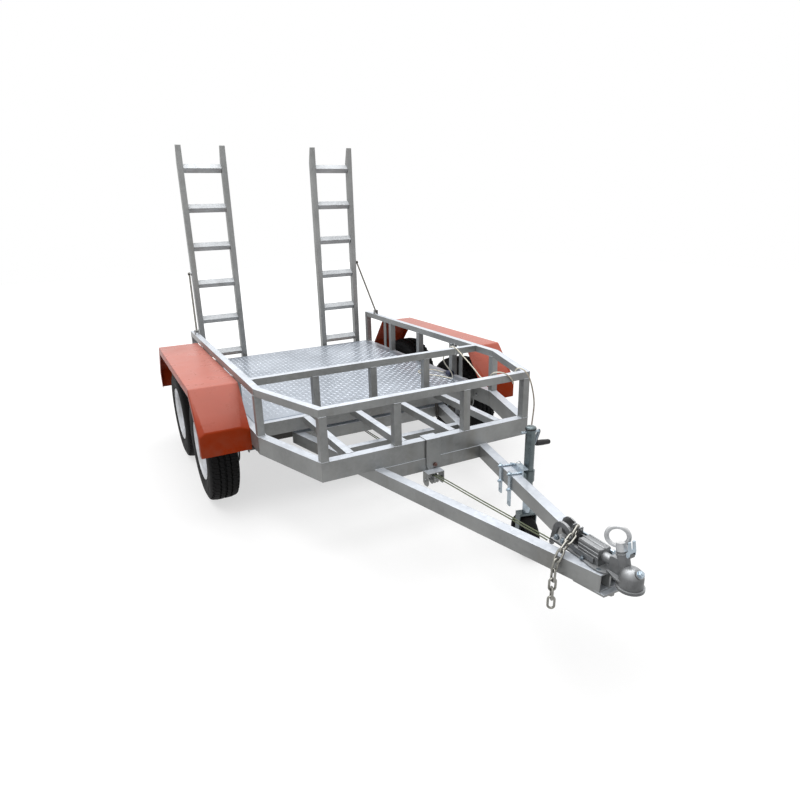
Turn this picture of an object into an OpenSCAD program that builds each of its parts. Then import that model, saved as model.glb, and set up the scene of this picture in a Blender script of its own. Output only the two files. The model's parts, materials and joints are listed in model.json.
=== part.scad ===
// Tandem axle plant trailer: galvanised frame and railings, checker deck, open bucket bay at the front,
// two ladder ramps standing at the rear, override coupling, jockey wheel and orange steel mudguards.
// Units are millimetres. X runs across, Y from the coupling to the ramps, Z up from the ground.

/* [Bed] */
// Width over the side beams
bed_w = 1580; // [1540:10:1640]
// Length of the bed from the front beam to the rear beam
bed_l = 2400; // [2300:10:2500]
// Height of the frame's top above the ground
deck_h = 570; // [560:5:600]
// Width of the front beam between its corners
front_w = 1244; // [1160:4:1300]
// Distance from the front beam to where the chamfered corners end
chamfer_y = 502; // [460:2:540]
// Depth of the edge beams
beam_d = 100; // [90:5:110]
// Width of the edge beams
beam_w = 50; // [40:5:60]
// Where the deck starts behind the open bay
bay_l = 690; // [660:10:720]

/* [Railings] */
// Height of the railing's top above the frame
rail_h = 268; // [230:2:320]
// Side of the railing's square tube
tube = 40; // [35:1:45]

/* [Drawbar] */
// Distance from the front beam to the open ends of the rails
bar_l = 1184; // [1100:4:1250]
// Half width over the rails at the front beam
bar_x = 344; // [320:2:370]
// Depth of a drawbar rail
bar_d = 70; // [60:5:80]

/* [Running gear] */
// Outer radius of a tyre
tyre_r = 325; // [310:1:335]
// Width of a tyre
tyre_w = 182; // [165:1:190]
// Middle of a tyre from the centre line
tyre_x = 930; // [928:1:940]
// Front axle from the front beam
axle_y = 1110; // [1090:5:1130]
// Distance between the axles
axle_gap = 800; // [780:5:820]

/* [Ramps] */
// Height of the ramp tips above the frame when the ramps stand
ramp_h = 1635; // [1500:5:1700]
// Outer edge of a ramp from the centre line
ramp_xo = 710; // [690:2:712]
// Inner edge of a ramp from the centre line
ramp_xi = 345; // [300:5:400]
// Distance between two rungs
rung_gap = 286; // [260:1:290]

/* [Hidden] */
$fn = 48;
hw = bed_w / 2;
fw = front_w / 2;
nose_y = -1315;
rear_y = 2509;
// The whole part is centred between its nose and the back of the ramps
oy = -(nose_y + rear_y) / 2;
top = deck_h;
low = deck_h - beam_d;
bar_z = low - bar_d;
rail_z = top + rail_h;
guard_in = hw;
guard_out = hw + 280;
guard_t = 2;
ramp_y = 2459;
ramp_t = 50;
stile_w = 40;
hinge_y = 2484;
hinge_z = deck_h - 40;
stay_y = 2217;
stay_z = rail_z + 24;
stay_x = hw - tube / 2;
stay_top_y = 2484;
stay_top_z = top + 700;
stay_top_x = 727;
jock_y = -363;
galv = [0.72, 0.74, 0.76];
dark = [0.20, 0.21, 0.22];
orange = [0.80, 0.34, 0.22];

// Helpers
function unit(v) = v / norm(v);
function inward(a, b) = let (d = unit(b - a)) [-d[1], d[0]];
// Corner of the inner outline at b when the wall thickness is t
function corner(a, b, c, t) =
    let (m = inward(a, b), n = inward(b, c))
    b + (m + n) * t / (1 + m * n);
outline = [[-hw, bed_l], [-hw, chamfer_y], [-fw, 0], [fw, 0], [hw, chamfer_y], [hw, bed_l]];
function inner(t) = [
    outline[0] + [t, 0],
    corner(outline[0], outline[1], outline[2], t),
    corner(outline[1], outline[2], outline[3], t),
    corner(outline[2], outline[3], outline[4], t),
    corner(outline[3], outline[4], outline[5], t),
    outline[5] - [t, 0]];
// One mitred length of the edge, number i of the outline
module edge_bar(i, t, z0, z1)
    translate([0, 0, z0])
    linear_extrude(z1 - z0)
    polygon([outline[i], outline[i + 1], inner(t)[i + 1], inner(t)[i]]);
module box(x0, x1, y0, y1, z0, z1)
    translate([x0, y0, z0])
    cube([x1 - x0, y1 - y0, z1 - z0]);
// Cylinder along X
module rod_x(x0, x1, y, z, r, fn = 48)
    translate([x0, y, z])
    rotate([0, 90, 0])
    cylinder(h = x1 - x0, r = r, $fn = fn);
// Cylinder along Y
module rod_y(x, y0, y1, z, r, fn = 48)
    translate([x, y0, z])
    rotate([-90, 0, 0])
    cylinder(h = y1 - y0, r = r, $fn = fn);
// Profile in Y and Z, given thickness along X
module plate_x(x0, x1, pts)
    translate([x0, 0, 0])
    rotate([90, 0, 90])
    linear_extrude(x1 - x0)
    polygon(pts);
module both()
    for (s = [0, 1])
    mirror([s, 0, 0])
    children();

// Bed
module deck_plate()
    color(galv)
    translate([0, oy, 0])
    box(-hw + tube + 1, hw - tube - 1, bay_l + tube + 1, bed_l, top, top + 4);

module front_beam()
    color(galv)
    translate([0, oy, 0])
    edge_bar(2, beam_w, low, top);

module chamfer_beams()
    color(galv)
    translate([0, oy, 0])
    for (i = [1, 3])
    edge_bar(i, beam_w, low, top);

module side_beams()
    color(galv)
    translate([0, oy, 0])
    difference() {
        for (i = [0, 4])
            edge_bar(i, beam_w, low, top);
        rod_x(hw - beam_w - 1, hw + 1, 655, top - 57, 9);
    }

module rear_beam()
    color(galv)
    translate([0, oy, 0])
    box(-hw + beam_w, hw - beam_w, bed_l - beam_w, bed_l, low, top);

module cross_members()
    color(galv)
    translate([0, oy, 0]) {
        box(-hw + beam_w, hw - beam_w, bay_l, bay_l + 50, top - 80, top);
        for (y = [1000, 1280, 1560, 1840, 2110])
            box(-hw + beam_w, hw - beam_w, y, y + 40, top - 80, top);
    }

module bucket_joists()
    color(galv)
    translate([0, oy, 0])
    for (x = [-450, -150, 150, 450])
    box(x - 20, x + 20, beam_w, bay_l, top - 40, top);

// Railings
module front_rail()
    color(galv)
    translate([0, oy, 0])
    edge_bar(2, tube, rail_z - tube, rail_z);

module chamfer_rails()
    color(galv)
    translate([0, oy, 0])
    for (i = [1, 3])
    edge_bar(i, tube, rail_z - tube, rail_z);

module side_rails()
    color(galv)
    translate([0, oy, 0])
    for (i = [0, 4])
    edge_bar(i, tube, rail_z - tube, rail_z);

module mid_rail()
    color(galv)
    translate([0, oy, 0])
    box(-hw + tube, hw - tube, bay_l, bay_l + tube, rail_z - tube, rail_z);

side_posts = [chamfer_y + tube / 2, 986, 1451, 1915, bed_l - tube / 2];
module post(x, y)
    box(x - tube / 2, x + tube / 2, y - tube / 2, y + tube / 2, top, rail_z - tube);
module railing_posts()
    color(galv)
    translate([0, oy, 0]) {
        both() {
            for (y = side_posts)
                post(-hw + tube / 2, y);
            post(-fw + tube / 2, tube / 2);
            post(-fw / 3, tube / 2);
        }
        for (x = [-375, 0, 375])
            post(x, bay_l + tube / 2);
    }

// Drawbar
bar_dir = unit([bar_x - 50, bar_l]);
function bar_out(y) = bar_x + y * (bar_x - 50) / bar_l;
bar_wx = 50 / bar_dir[1];
bar_end = bay_l + 50;
module bar_half(inset)
    translate([0, 0, bar_z + inset])
    linear_extrude(bar_d - 2 * inset)
    intersection() {
        polygon([
            [bar_out(-bar_l) - inset / bar_dir[1], -bar_l],
            [bar_out(bar_end) - inset / bar_dir[1], bar_end],
            [bar_out(bar_end) - bar_wx + inset / bar_dir[1], bar_end],
            [bar_out(-bar_l) - bar_wx + inset / bar_dir[1], -bar_l]]);
        translate([inset, -2000])
            square([1000, 4000]);
    }
module drawbar_rail()
    difference() {
        bar_half(0);
        intersection() {
            bar_half(4);
            box(0, 200, -bar_l - 1, -bar_l + 160, 0, 1000);
        }
        translate([0, -bar_l - 50, bar_z + 4])
            linear_extrude(bar_d - 8)
            polygon([[4, 49], [bar_out(-bar_l) - 4.2, 49], [bar_out(-bar_l) - 4.2, 52], [4, 52]]);
    }
module drawbar_rail_right()
    color(galv)
    translate([0, oy, 0])
    drawbar_rail();
module drawbar_rail_left()
    color(galv)
    translate([0, oy, 0])
    mirror([1, 0, 0])
    drawbar_rail();

function bar_in(y) = bar_out(y) - bar_wx;
module tie(y0, y1, z0, z1)
    translate([0, 0, z0])
    linear_extrude(z1 - z0)
    polygon([[-bar_in(y0), y0], [bar_in(y0), y0], [bar_in(y1), y1], [-bar_in(y1), y1]]);
module drawbar_ties()
    color(galv)
    translate([0, oy, 0]) {
        tie(-5, 45, bar_z, low);
        tie(330, 370, bar_z + 20, low);
        tie(bay_l, bay_l + 50, bar_z, low);
        // Plate under the open ends of the rails, with its two bolts
        translate([0, 0, bar_z - 8])
            linear_extrude(8)
            polygon([[-48, -1205], [48, -1205], [70, -1080], [-70, -1080]]);
        for (y = [-1190, -1110])
            translate([0, y, bar_z - 20])
            cylinder(h = 12, r = 14, $fn = 6);
    }

// Mudguards
guard_path = [[670, 440], [670, 579], [857, 790], [2130, 790], [2317, 579], [2317, 440]];
guard_inner = [[2315, 440], [2315, 578.2], [2129.1, 788], [857.9, 788], [672, 578.2], [672, 440]];
lip_inner = [[2268, 440], [2268, 561], [2108, 741], [879, 741], [719, 561], [719, 440]];
module mudguard()
    translate([0, oy, 0]) {
        plate_x(guard_in, guard_out - guard_t, concat(guard_path, guard_inner));
        plate_x(guard_out - guard_t, guard_out, concat(guard_path, lip_inner));
    }
module mudguard_right()
    color(orange)
    mudguard();
module mudguard_left()
    color(orange)
    mirror([1, 0, 0])
    mudguard();
module mudguard_brackets()
    color(galv)
    translate([0, oy, 0])
    both() {
        for (y = [900, 1490, 2070])
            box(guard_in, guard_out - 4, y, y + 40, 782, 788);
        for (y = [900, 2070])
            box(guard_in, guard_in + 6, y, y + 40, 500, 782);
        box(guard_in, guard_in + 6, 1490, 1530, 520, 782);
    }

// Running gear
spring_x = hw - 25.5;
eye_z = 405;
half = 330;
// Curve of the leaves, and the half length of leaf i counted from the top
function sag(y) = 20 * y * y / (half * half);
function tip(i) = i == 0 ? half : half - 20 - 62 * i;
function leaf_end(i) = [for (k = [0:3])
    let (y = tip(i) + (tip(i + 1) - tip(i)) * k / 3) [y, 378 - 7 * i + sag(y)]];
module one_spring(yc) {
    under = [for (i = [0:3]) each leaf_end(i), [tip(4), 350 + sag(tip(4))]];
    difference() {
        union() {
            plate_x(spring_x - 19, spring_x + 19, concat(
                [for (y = [-half:66:half]) [yc + y, 385 + sag(y)]],
                [for (q = under) [yc + q[0], q[1]]],
                [for (n = [len(under) - 1:-1:0]) [yc - under[n][0], under[n][1]]]));
            for (s = [-1, 1])
                rod_x(spring_x - 19, spring_x + 19, yc + s * half, eye_z, 15);
        }
        for (s = [-1, 1])
            rod_x(spring_x - 20, spring_x + 20, yc + s * half, eye_z, 8);
    }
}
module leaf_springs()
    color(dark)
    translate([0, oy, 0])
    both()
    for (k = [0, 1])
    one_spring(axle_y + k * axle_gap);

module hanger_plates(y, w)
    for (x = [spring_x - 25.5, spring_x + 19.5])
    difference() {
        plate_x(x, x + 6, [[y - w, low], [y + w, low], [y + w, eye_z + 12], [y + 12, eye_z - 22],
            [y - 12, eye_z - 22], [y - w, eye_z + 12]]);
        rod_x(x - 1, x + 7, y, eye_z, 8);
    }
mid_y = axle_y + axle_gap / 2;
module spring_hangers()
    color(galv)
    translate([0, oy, 0])
    both() {
        for (y = [axle_y - half, axle_y + axle_gap + half]) {
            hanger_plates(y, 30);
            rod_x(spring_x - 34, spring_x + 25.5, y, eye_z, 7.95);
        }
        // Narrow hanger that carries the rocker
        difference() {
            plate_x(spring_x - 18, spring_x + 18, [[mid_y - 45, low], [mid_y + 45, low],
                [mid_y + 20, 415], [mid_y - 20, 415]]);
            rod_x(spring_x - 40, spring_x + 40, mid_y, 435, 10);
        }
    }
module rockers()
    color(galv)
    translate([0, oy, 0])
    both() {
        difference() {
            for (x = [spring_x - 25.5, spring_x + 19.5])
                plate_x(x, x + 6, [[mid_y - 88, 392], [mid_y - 88, 414], [mid_y - 22, 450],
                    [mid_y + 22, 450], [mid_y + 88, 414], [mid_y + 88, 392], [mid_y + 60, 386],
                    [mid_y, 410], [mid_y - 60, 386]]);
            for (y = [-70, 70])
                rod_x(spring_x - 30, spring_x + 30, mid_y + y, eye_z, 8);
            rod_x(spring_x - 30, spring_x + 30, mid_y, 435, 10);
        }
        for (y = [-70, 70])
            rod_x(spring_x - 32, spring_x + 25.5, mid_y + y, eye_z, 7.95);
        rod_x(spring_x - 34, spring_x + 25.5, mid_y, 435, 9.95);
    }

module axles()
    color(dark)
    translate([0, oy, 0])
    for (k = [0, 1])
    translate([0, axle_y + k * axle_gap, 0]) {
        box(-795, 795, -25, 25, tyre_r - 25, tyre_r + 25);
        both() {
            rod_x(795, 799, 0, tyre_r, 118, 64);
            rod_x(799, 950, 0, tyre_r, 19.95);
        }
    }

module tyre()
    rotate([0, 90, 0])
    rotate_extrude($fn = 96)
    polygon([[187, -78], [212, -86], [250, -91], [283, -90], [306, -82], [320, -66], [325, -50],
        [325, -37], [317, -36], [317, -30], [325, -29], [325, -6], [317, -5], [317, 5], [325, 6],
        [325, 29], [317, 30], [317, 36], [325, 37], [325, 50], [320, 66], [306, 82], [283, 90],
        [250, 91], [212, 86], [187, 78], [180, 70], [180, -70]]);
module wheel() {
    difference() {
        rotate([0, 90, 0])
            rotate_extrude($fn = 96)
            polygon([[178.5, -69.5], [178.5, 69.5], [185.5, 77], [188, 84], [184, 84], [180, 76],
                [172, 68], [170, 40], [150, 30], [130, 34], [100, 22], [64, 20], [30, 20], [30, 14],
                [64, 14], [100, 16], [130, 27], [152, 23], [168, 20], [173, -66], [180, -76],
                [184, -84], [188, -84], [185.5, -77]]);
        for (a = [0:30:330])
            rotate([a, 0, 0])
            rod_x(0, 60, 0, 142, 12, 24);
    }
    // Hub and brake drum on the spindle
    difference() {
        rotate([0, 90, 0])
            rotate_extrude($fn = 64)
            polygon([[20, -126], [34, -126], [34, -60], [108, -58], [108, -126], [116, -126],
                [116, -40], [108, -34], [84, -30], [84, 14], [30, 14], [34, 18], [34, 46], [28, 54],
                [0, 58], [0, 22], [20, 22]]);
        rod_x(-140, 21, 0, 0, 20);
    }
    for (a = [30:60:330])
        rotate([a, 0, 0]) {
            rod_x(20, 32, 0, 50, 11, 6);
            rod_x(32, 38, 0, 50, 6.5, 16);
        }
}
module at_wheel(side, k)
    translate([0, oy, 0])
    mirror([side < 0 ? 1 : 0, 0, 0])
    translate([tyre_x, axle_y + k * axle_gap, tyre_r])
    children();
module tyre_front_left() color(dark) at_wheel(-1, 0) tyre();
module tyre_rear_left() color(dark) at_wheel(-1, 1) tyre();
module tyre_front_right() color(dark) at_wheel(1, 0) tyre();
module tyre_rear_right() color(dark) at_wheel(1, 1) tyre();
module wheel_front_left() color([0.9, 0.9, 0.92]) at_wheel(-1, 0) wheel();
module wheel_rear_left() color([0.9, 0.9, 0.92]) at_wheel(-1, 1) wheel();
module wheel_front_right() color([0.9, 0.9, 0.92]) at_wheel(1, 0) wheel();
module wheel_rear_right() color([0.9, 0.9, 0.92]) at_wheel(1, 1) wheel();

// Coupling
slide_z = low + 44;
cup_y = -1268;
cup_z = low + 4;
lean = 17;
// The tower stands on the head and leans back
module at_tower()
    translate([0, -1244, low + 30])
    rotate([-lean, 0, 0])
    children();
module mirrored_plate(pts, z, h)
    translate([0, 0, z])
    linear_extrude(h)
    polygon(concat(pts, [for (i = [len(pts) - 1:-1:0]) [-pts[i][0], pts[i][1]]]));
module coupling_base()
    color(galv)
    translate([0, oy, 0])
    difference() {
        union() {
            // Bell-shaped foot that is bolted to the rails
            mirrored_plate([[30, -1188], [38, -1180], [44, -1166], [47, -1148], [46, -1124], [42, -1098],
                [38, -1064], [37, -1020], [37, -918]], low, 8);
            // Guides of the sliding shaft and the cheeks between them
            for (y = [-1148, -1080])
                box(-27, 27, y, y + 30, low + 8, low + 70);
            box(-27, -21, -1140, -965, low + 8, low + 32);
            box(21, 27, -1140, -965, low + 8, low + 56);
            box(-33, -27, -1129, -1034, low + 12, low + 32);
            // Lug and pin that hold the safety chain
            for (y = [-1018, -987])
                box(8, 27, y, y + 5, low + 50, low + 86);
            rod_y(16, -1022, -978, low + 76, 4.5);
        }
        rod_y(0, -1160, -1030, slide_z, 17.5);
        for (x = [-36, 36])
            for (y = [-1160, -1082])
                translate([x, y, low - 1])
                cylinder(h = 10, r = 6);
        for (y = [-985, -950])
            rod_x(-40, 40, y, low + 27, 7.5);
    }
module coupling_head()
    color(galv)
    translate([0, oy, 0])
    difference() {
        union() {
            rod_y(0, -1228, -1062, slide_z, 17.45);
            // Flange and dome over the ball
            translate([0, cup_y, low - 15])
                cylinder(h = 10, r = 47);
            translate([0, cup_y, low - 6])
                cylinder(h = 32, r = 41);
            translate([0, cup_y, low + 26])
                sphere(r = 41);
            // Skirt, rib and tower
            mirrored_plate([[40, cup_y], [38, -1226], [30, -1200], [26, -1184]], low + 9, 8);
            plate_x(-19, 19, [[-1262, low + 10], [-1256, low + 50], [-1228, low + 78], [-1200, low + 76],
                [-1186, low + 70], [-1186, low + 10]]);
            at_tower() {
                cylinder(h = 80, r = 21);
                translate([0, 0, 66])
                    cylinder(h = 6, r = 24);
                translate([-12, -38, 62])
                    cube([24, 24, 12]);
            }
            // Adjusting bolt with its washer and nut
            translate([0, cup_y, low + 26])
                rotate([45, 0, 0])
                translate([0, 0, 30]) {
                    cylinder(h = 14.5, r = 17);
                    cylinder(h = 24, r = 11, $fn = 6);
                    cylinder(h = 28, r = 5.5);
                }
        }
        translate([0, cup_y, low - 16])
            cylinder(h = 16 + cup_z - low, r = 25.5);
        translate([0, cup_y, cup_z])
            sphere(r = 25.5);
        at_tower()
            translate([0, 0, 24])
            cylinder(h = 60, r = 8);
        at_tower()
            translate([-20, -33, 68])
            rotate([0, 90, 0])
            cylinder(h = 40, r = 4);
    }
ring_r = 36;
module ring_handle()
    color(galv)
    translate([0, oy, 0]) {
        at_tower() {
            translate([0, 0, 26])
                cylinder(h = 58, r = 7.95);
            translate([0, 0, 80.4])
                cylinder(h = 30, r1 = 21, r2 = 19);
        }
        translate([-10, -1203, low + 156])
            rotate([90, 0, -51])
            rotate_extrude($fn = 64)
            translate([ring_r, 0])
            circle(r = 8, $fn = 24);
    }
module coupling_latch()
    color(galv)
    translate([0, oy, 0])
    at_tower() {
        translate([-17, -33, 68])
            rotate([0, 90, 0])
            cylinder(h = 34, r = 3.95);
        difference() {
            plate_x(-16, 16, [[-39, 68], [-44, 84], [-47, 118], [-43, 120], [-38, 88], [-28, 80],
                [-27, 66]]);
            plate_x(-12.5, 12.5, [[-60, 40], [-60, 79], [-20, 79], [-20, 40]]);
            plate_x(-5, 5, [[-60, 92], [-60, 130], [-20, 130], [-20, 92]]);
        }
    }
// Curved arm that the shaft pushes on and that pulls the brake cables
arc_y = -945;
arc_z = low + 27;
function arm_arc(r, a0, a1) = [for (a = [a0:(a1 - a0) / 8:a1]) [arc_y + r * cos(a), arc_z + r * sin(a)]];
module brake_arm()
    color(galv)
    translate([0, oy, 0]) {
        difference() {
            plate_x(-6, 6, concat(arm_arc(50, 180, 20), [[-880, low - 36], [-884, low - 46],
                [-895, low - 46], [-898, low - 36]], arm_arc(28, 20, 180), [[-985, arc_z - 18]]));
            rod_x(-8, 8, -888, low - 37, 3.5);
        }
        rod_x(-33, 33, -985, arc_z, 7.45);
        rod_x(-18, 18, -985, arc_z, 14);
    }
module handbrake_quadrant()
    color(galv)
    translate([0, oy, 0])
    difference() {
        plate_x(27, 33, [[-996, low + 10], [-912, low + 10], [-906, low + 52], [-914, low + 74],
            [-930, low + 88], [-950, low + 92], [-970, low + 86], [-982, low + 70], [-986, low + 56],
            [-996, low + 56]]);
        rod_x(20, 45, -950, low + 40, 8);
        rod_x(20, 45, -985, low + 27, 7.5);
        for (a = [40:12:124])
            rod_x(20, 45, -950 + 55 * cos(a), low + 40 + 55 * sin(a), 4);
    }
module handbrake_lever()
    color(galv)
    translate([0, oy, 0]) {
        rod_x(27.05, 44, -950, low + 40, 7.95);
        plate_x(35, 41, [[-964, low + 34], [-956, low + 28], [-938, low + 30], [-934, low + 44],
            [-944, low + 56], [-1060, low + 60], [-1108, low + 56], [-1108, low + 40], [-1060, low + 42]]);
        rod_y(38, -1150, -1090, low + 48, 9);
        rod_y(38, -1158, -1149, low + 48, 11);
    }

module pulley_bracket()
    color(galv)
    translate([0, oy, 0]) {
        // Hanger hooked over the front beam
        difference() {
            plate_x(-50, 34, [[60, top], [60, top + 5], [-13, top + 5], [-13, top - 166], [-8, top - 166],
                [-8, top]]);
            for (x = [-70, 18])
                rod_y(x, -20, 0, top - 160, 26);
        }
        translate([0, -12, top - 142])
            rotate([90, 0, 0])
            cylinder(h = 9, r = 10, $fn = 6);
        // Channel with the guide pulley
        box(-70, 28, -60, -8, top - 170, top - 165);
        for (x = [-70, 23])
            plate_x(x, x + 5, [[-60, top - 170], [-8, top - 170], [-8, top - 226], [-22, top - 240],
                [-48, top - 240], [-60, top - 226]]);
        rod_x(-78, 36, -35, top - 208, 6);
        translate([-21, -35, top - 208])
            rotate([0, 90, 0])
            translate([0, 0, -16])
            rotate_extrude($fn = 32)
            polygon([[6, 0], [26, 0], [21, 7], [26, 14], [26, 18], [21, 25], [26, 32], [6, 32]]);
    }

// Cords held by the trailer
function seg_n(p) = len(p) - 1;
function ring_pts(p, d, r, n) =
    let (u = unit(cross(d, abs(d[2]) > 0.9 ? [1, 0, 0] : [0, 0, 1])), v = cross(d, u))
    [for (i = [0:n - 1]) p + r * (cos(360 * i / n) * u + sin(360 * i / n) * v)];
function path_dir(p, i) =
    i == 0 ? unit(p[1] - p[0]) :
    i == len(p) - 1 ? unit(p[i] - p[i - 1]) :
    unit(unit(p[i] - p[i - 1]) + unit(p[i + 1] - p[i]));
module sweep(p, r, n = 8) {
    pts = [for (i = [0:len(p) - 1]) each ring_pts(p[i], path_dir(p, i), r, n)];
    m = len(p);
    polyhedron(pts, concat(
        [[for (j = [n - 1:-1:0]) j]],
        [for (i = [0:m - 2]) for (j = [0:n - 1])
            [i * n + j, i * n + (j + 1) % n, (i + 1) * n + (j + 1) % n, (i + 1) * n + j]],
        [[for (j = [0:n - 1]) (m - 1) * n + j]]));
}
// Route of one brake cable, over the pulley and back to the front axle
function strand(x0, x1) = [[x0, -870.9, 433], [x0, -850, 432.4], [x0 - 1, -760, 425], [x0 - 3, -640, 418],
    [x0 * 0.6 + x1 * 0.4, -520, 412], [x0 * 0.4 + x1 * 0.6, -380, 404], [x0 * 0.2 + x1 * 0.8, -220, 396],
    [x1, -90, 389.6], [x1, -60, 387.6], [x1, -35, 387], [x1, -10, 386.4], [x1, 60, 383],
    [x1 * 0.9, 300, 371], [x1 * 0.8, 600, 358], [x1 * 0.7, 860, 347], [x1 * 0.7, 1040, 340.4],
    [x1 * 0.7, 1084.9, 340]];
module brake_cables()
    color([0.45, 0.47, 0.35])
    translate([0, oy, 0]) {
        sweep(strand(-8, -30), 3);
        sweep(strand(8, -12), 3);
    }

// Chain of welded links. Each link follows its direction and lies across the one before it
chain_start = [16, -1000, low + 76];
chain_dirs = [[-31, -10, -18], [-33, -8, -16], [-33, -6, -21], [-25, -4, -31], [-12, -2, -37],
    [-2, 0, -39], [0, 0, -1], [0, 0, -1], [0, 0, -1]];
chain_rolls = [0, 90, 0, 90, 10, 105, 25, 120, 40];
chain_r = 4.5;
function chain_centre(i) =
    i == 0 ? chain_start + 15.2 * unit(chain_dirs[0]) :
    chain_centre(i - 1) + 19.8 * (unit(chain_dirs[i - 1]) + unit(chain_dirs[i]));
module link(p, d, roll)
    translate(p)
    rotate([0, 0, atan2(d[1], d[0])])
    rotate([0, acos(d[2] / norm(d)), 0])
    rotate([0, 0, roll]) {
        for (s = [-1, 1])
            translate([s * 12, 0, -13])
            cylinder(h = 26, r = chain_r, $fn = 24);
        for (s = [0, 180])
            rotate([0, s, 0])
            translate([0, 0, 13])
            rotate([90, 0, 0])
            rotate_extrude(angle = 180, $fn = 32)
            translate([12, 0])
            circle(r = chain_r, $fn = 24);
    }
module safety_chain()
    color(galv)
    translate([0, oy, 0])
    for (i = [0:8])
    link(chain_centre(i), chain_dirs[i], chain_rolls[i]);

// Jockey wheel
jock_a = -atan2(bar_dir[0], bar_dir[1]);
pivot_z = 440;
// Everything here is placed from the rail's outer face, X pointing away from the rail
module at_rail()
    translate([bar_out(jock_y), jock_y + oy, 0])
    rotate([0, 0, jock_a])
    children();
tube_x = 62;
module jockey_clamp()
    color(galv)
    at_rail() {
        difference() {
            plate_x(0, 8, [[-56, bar_z - 12], [82, bar_z - 12], [82, low + 10], [22, low + 30],
                [-56, low + 30]]);
            rod_x(-1, 9, 0, pivot_z, 10);
            for (y = [-38, 65])
                for (z = [bar_z - 6, low + 6])
                    rod_x(-1, 9, y, z, 5, 24);
        }
        // Flange that guards the tube, and the pull pin beside it
        box(8, 32, -56, 20, low + 24, low + 30);
        rod_x(8, 30, 34, low + 14, 6);
        translate([24, 34, low + 24])
            rotate([90, 0, 0])
            rotate_extrude($fn = 32)
            translate([10, 0])
            circle(r = 1.5, $fn = 16);
        // Straps on the rail's inner face and the rods through both
        for (q = [[-38, 310], [65, 332]])
            difference() {
                box(-58, -50.2, q[0] - 13, q[0] + 13, q[1], low + 18);
                for (z = [bar_z - 6, low + 6, q[1] + 16])
                    rod_x(-59, -49, q[0], z, 5, 24);
            }
        for (y = [-38, 65])
            for (z = [bar_z - 6, low + 6]) {
                rod_x(-70, 14, y, z, 5, 24);
                rod_x(-65, -58, y, z, 9.5, 6);
            }
    }
module jockey_tube()
    color([0.45, 0.48, 0.50])
    at_rail() {
        difference() {
            union() {
                translate([tube_x, 0, 360])
                    cylinder(h = 322, r = 24);
                translate([tube_x, 0, 412])
                    cylinder(h = 56, r = 30);
                rod_x(8.4, 40, 0, pivot_z, 26);
            }
            translate([tube_x, 0, 359])
                cylinder(h = 305, r = 20);
            rod_x(tube_x - 40, tube_x + 40, 0, 668, 6);
        }
        // Cap with its band and crown
        translate([tube_x, 0, 682])
            rotate_extrude()
            polygon([[0, 0], [26, 0], [26, 6], [25, 7], [25, 9], [24, 12], [19, 14.5], [10, 16], [0, 16.5]]);
        rod_x(0.3, 8.4, 0, pivot_z, 9.95);
    }
module jockey_leg()
    color([0.6, 0.62, 0.64])
    at_rail()
    translate([tube_x, 0, 0])
    difference() {
        translate([0, 0, 237])
            cylinder(h = 293, r = 19.95);
        translate([0, 0, 236])
            cylinder(h = 60, r = 10);
    }
module jockey_fork()
    color([0.6, 0.62, 0.64])
    at_rail()
    translate([tube_x, 0, 0]) {
        translate([0, 0, 236])
            cylinder(h = 58, r = 9.95);
        difference() {
            union() {
                box(-46, 46, -25, 25, 226, 236);
                for (x = [-46, 40])
                    plate_x(x, x + 6, [[-25, 232], [25, 232], [18, 92], [-18, 92]]);
            }
            rod_x(-60, 60, 0, 107.5, 8);
        }
    }
module jockey_wheel()
    color(dark)
    at_rail()
    translate([tube_x, 0, 107.5]) {
        rotate([0, 90, 0])
            rotate_extrude($fn = 72)
            polygon([[0, -36], [26, -36], [28, -20], [78, -20], [82, -30], [98, -32], [107.5, -18],
                [107.5, 18], [98, 32], [82, 30], [78, 20], [28, 20], [26, 36], [0, 36]]);
        rod_x(-52, 52, 0, 0, 7.95);
    }
crank_u = 35;
crank_z = 590;
module jockey_crank()
    color(dark)
    at_rail()
    translate([tube_x, 0, 0]) {
        rod_x(-50, 44, 0, 668, 5.95);
        translate([40, 0, 668])
            rotate([atan2(crank_u, 668 - crank_z), 0, 0])
            translate([0, 0, -norm([crank_u, 668 - crank_z])])
            rotate([90, 0, 90])
            linear_extrude(7)
            polygon(concat(
                [for (a = [0:20:180]) [9 * cos(a), norm([crank_u, 668 - crank_z]) + 9 * sin(a)]],
                [for (a = [180:20:360]) [9 * cos(a), 9 * sin(a)]]));
        translate([43, crank_u, crank_z])
            rotate([0, 90, 0])
            rotate_extrude()
            polygon([[0, 0], [11, 0], [11, 6], [14, 9], [14.5, 35], [13, 64], [12, 76], [9, 81], [0, 82]]);
    }

// Ramps
module stile(x)
    difference() {
        union() {
            plate_x(x, x + stile_w, [[ramp_y, hinge_z], [ramp_y, top + ramp_h],
                [ramp_y + 14, top + ramp_h], [ramp_y + ramp_t, top + ramp_h - 115],
                [ramp_y + ramp_t, hinge_z]]);
            rod_x(x, x + stile_w, hinge_y, hinge_z, 25);
        }
        rod_x(x - 1, x + stile_w + 1, hinge_y, hinge_z, 8);
    }
module stiles()
    translate([0, oy, 0]) {
        stile(ramp_xi);
        stile(ramp_xo - stile_w);
        rod_x(ramp_xo, ramp_xo + 7, stay_top_y, stay_top_z, 12);
    }
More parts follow.
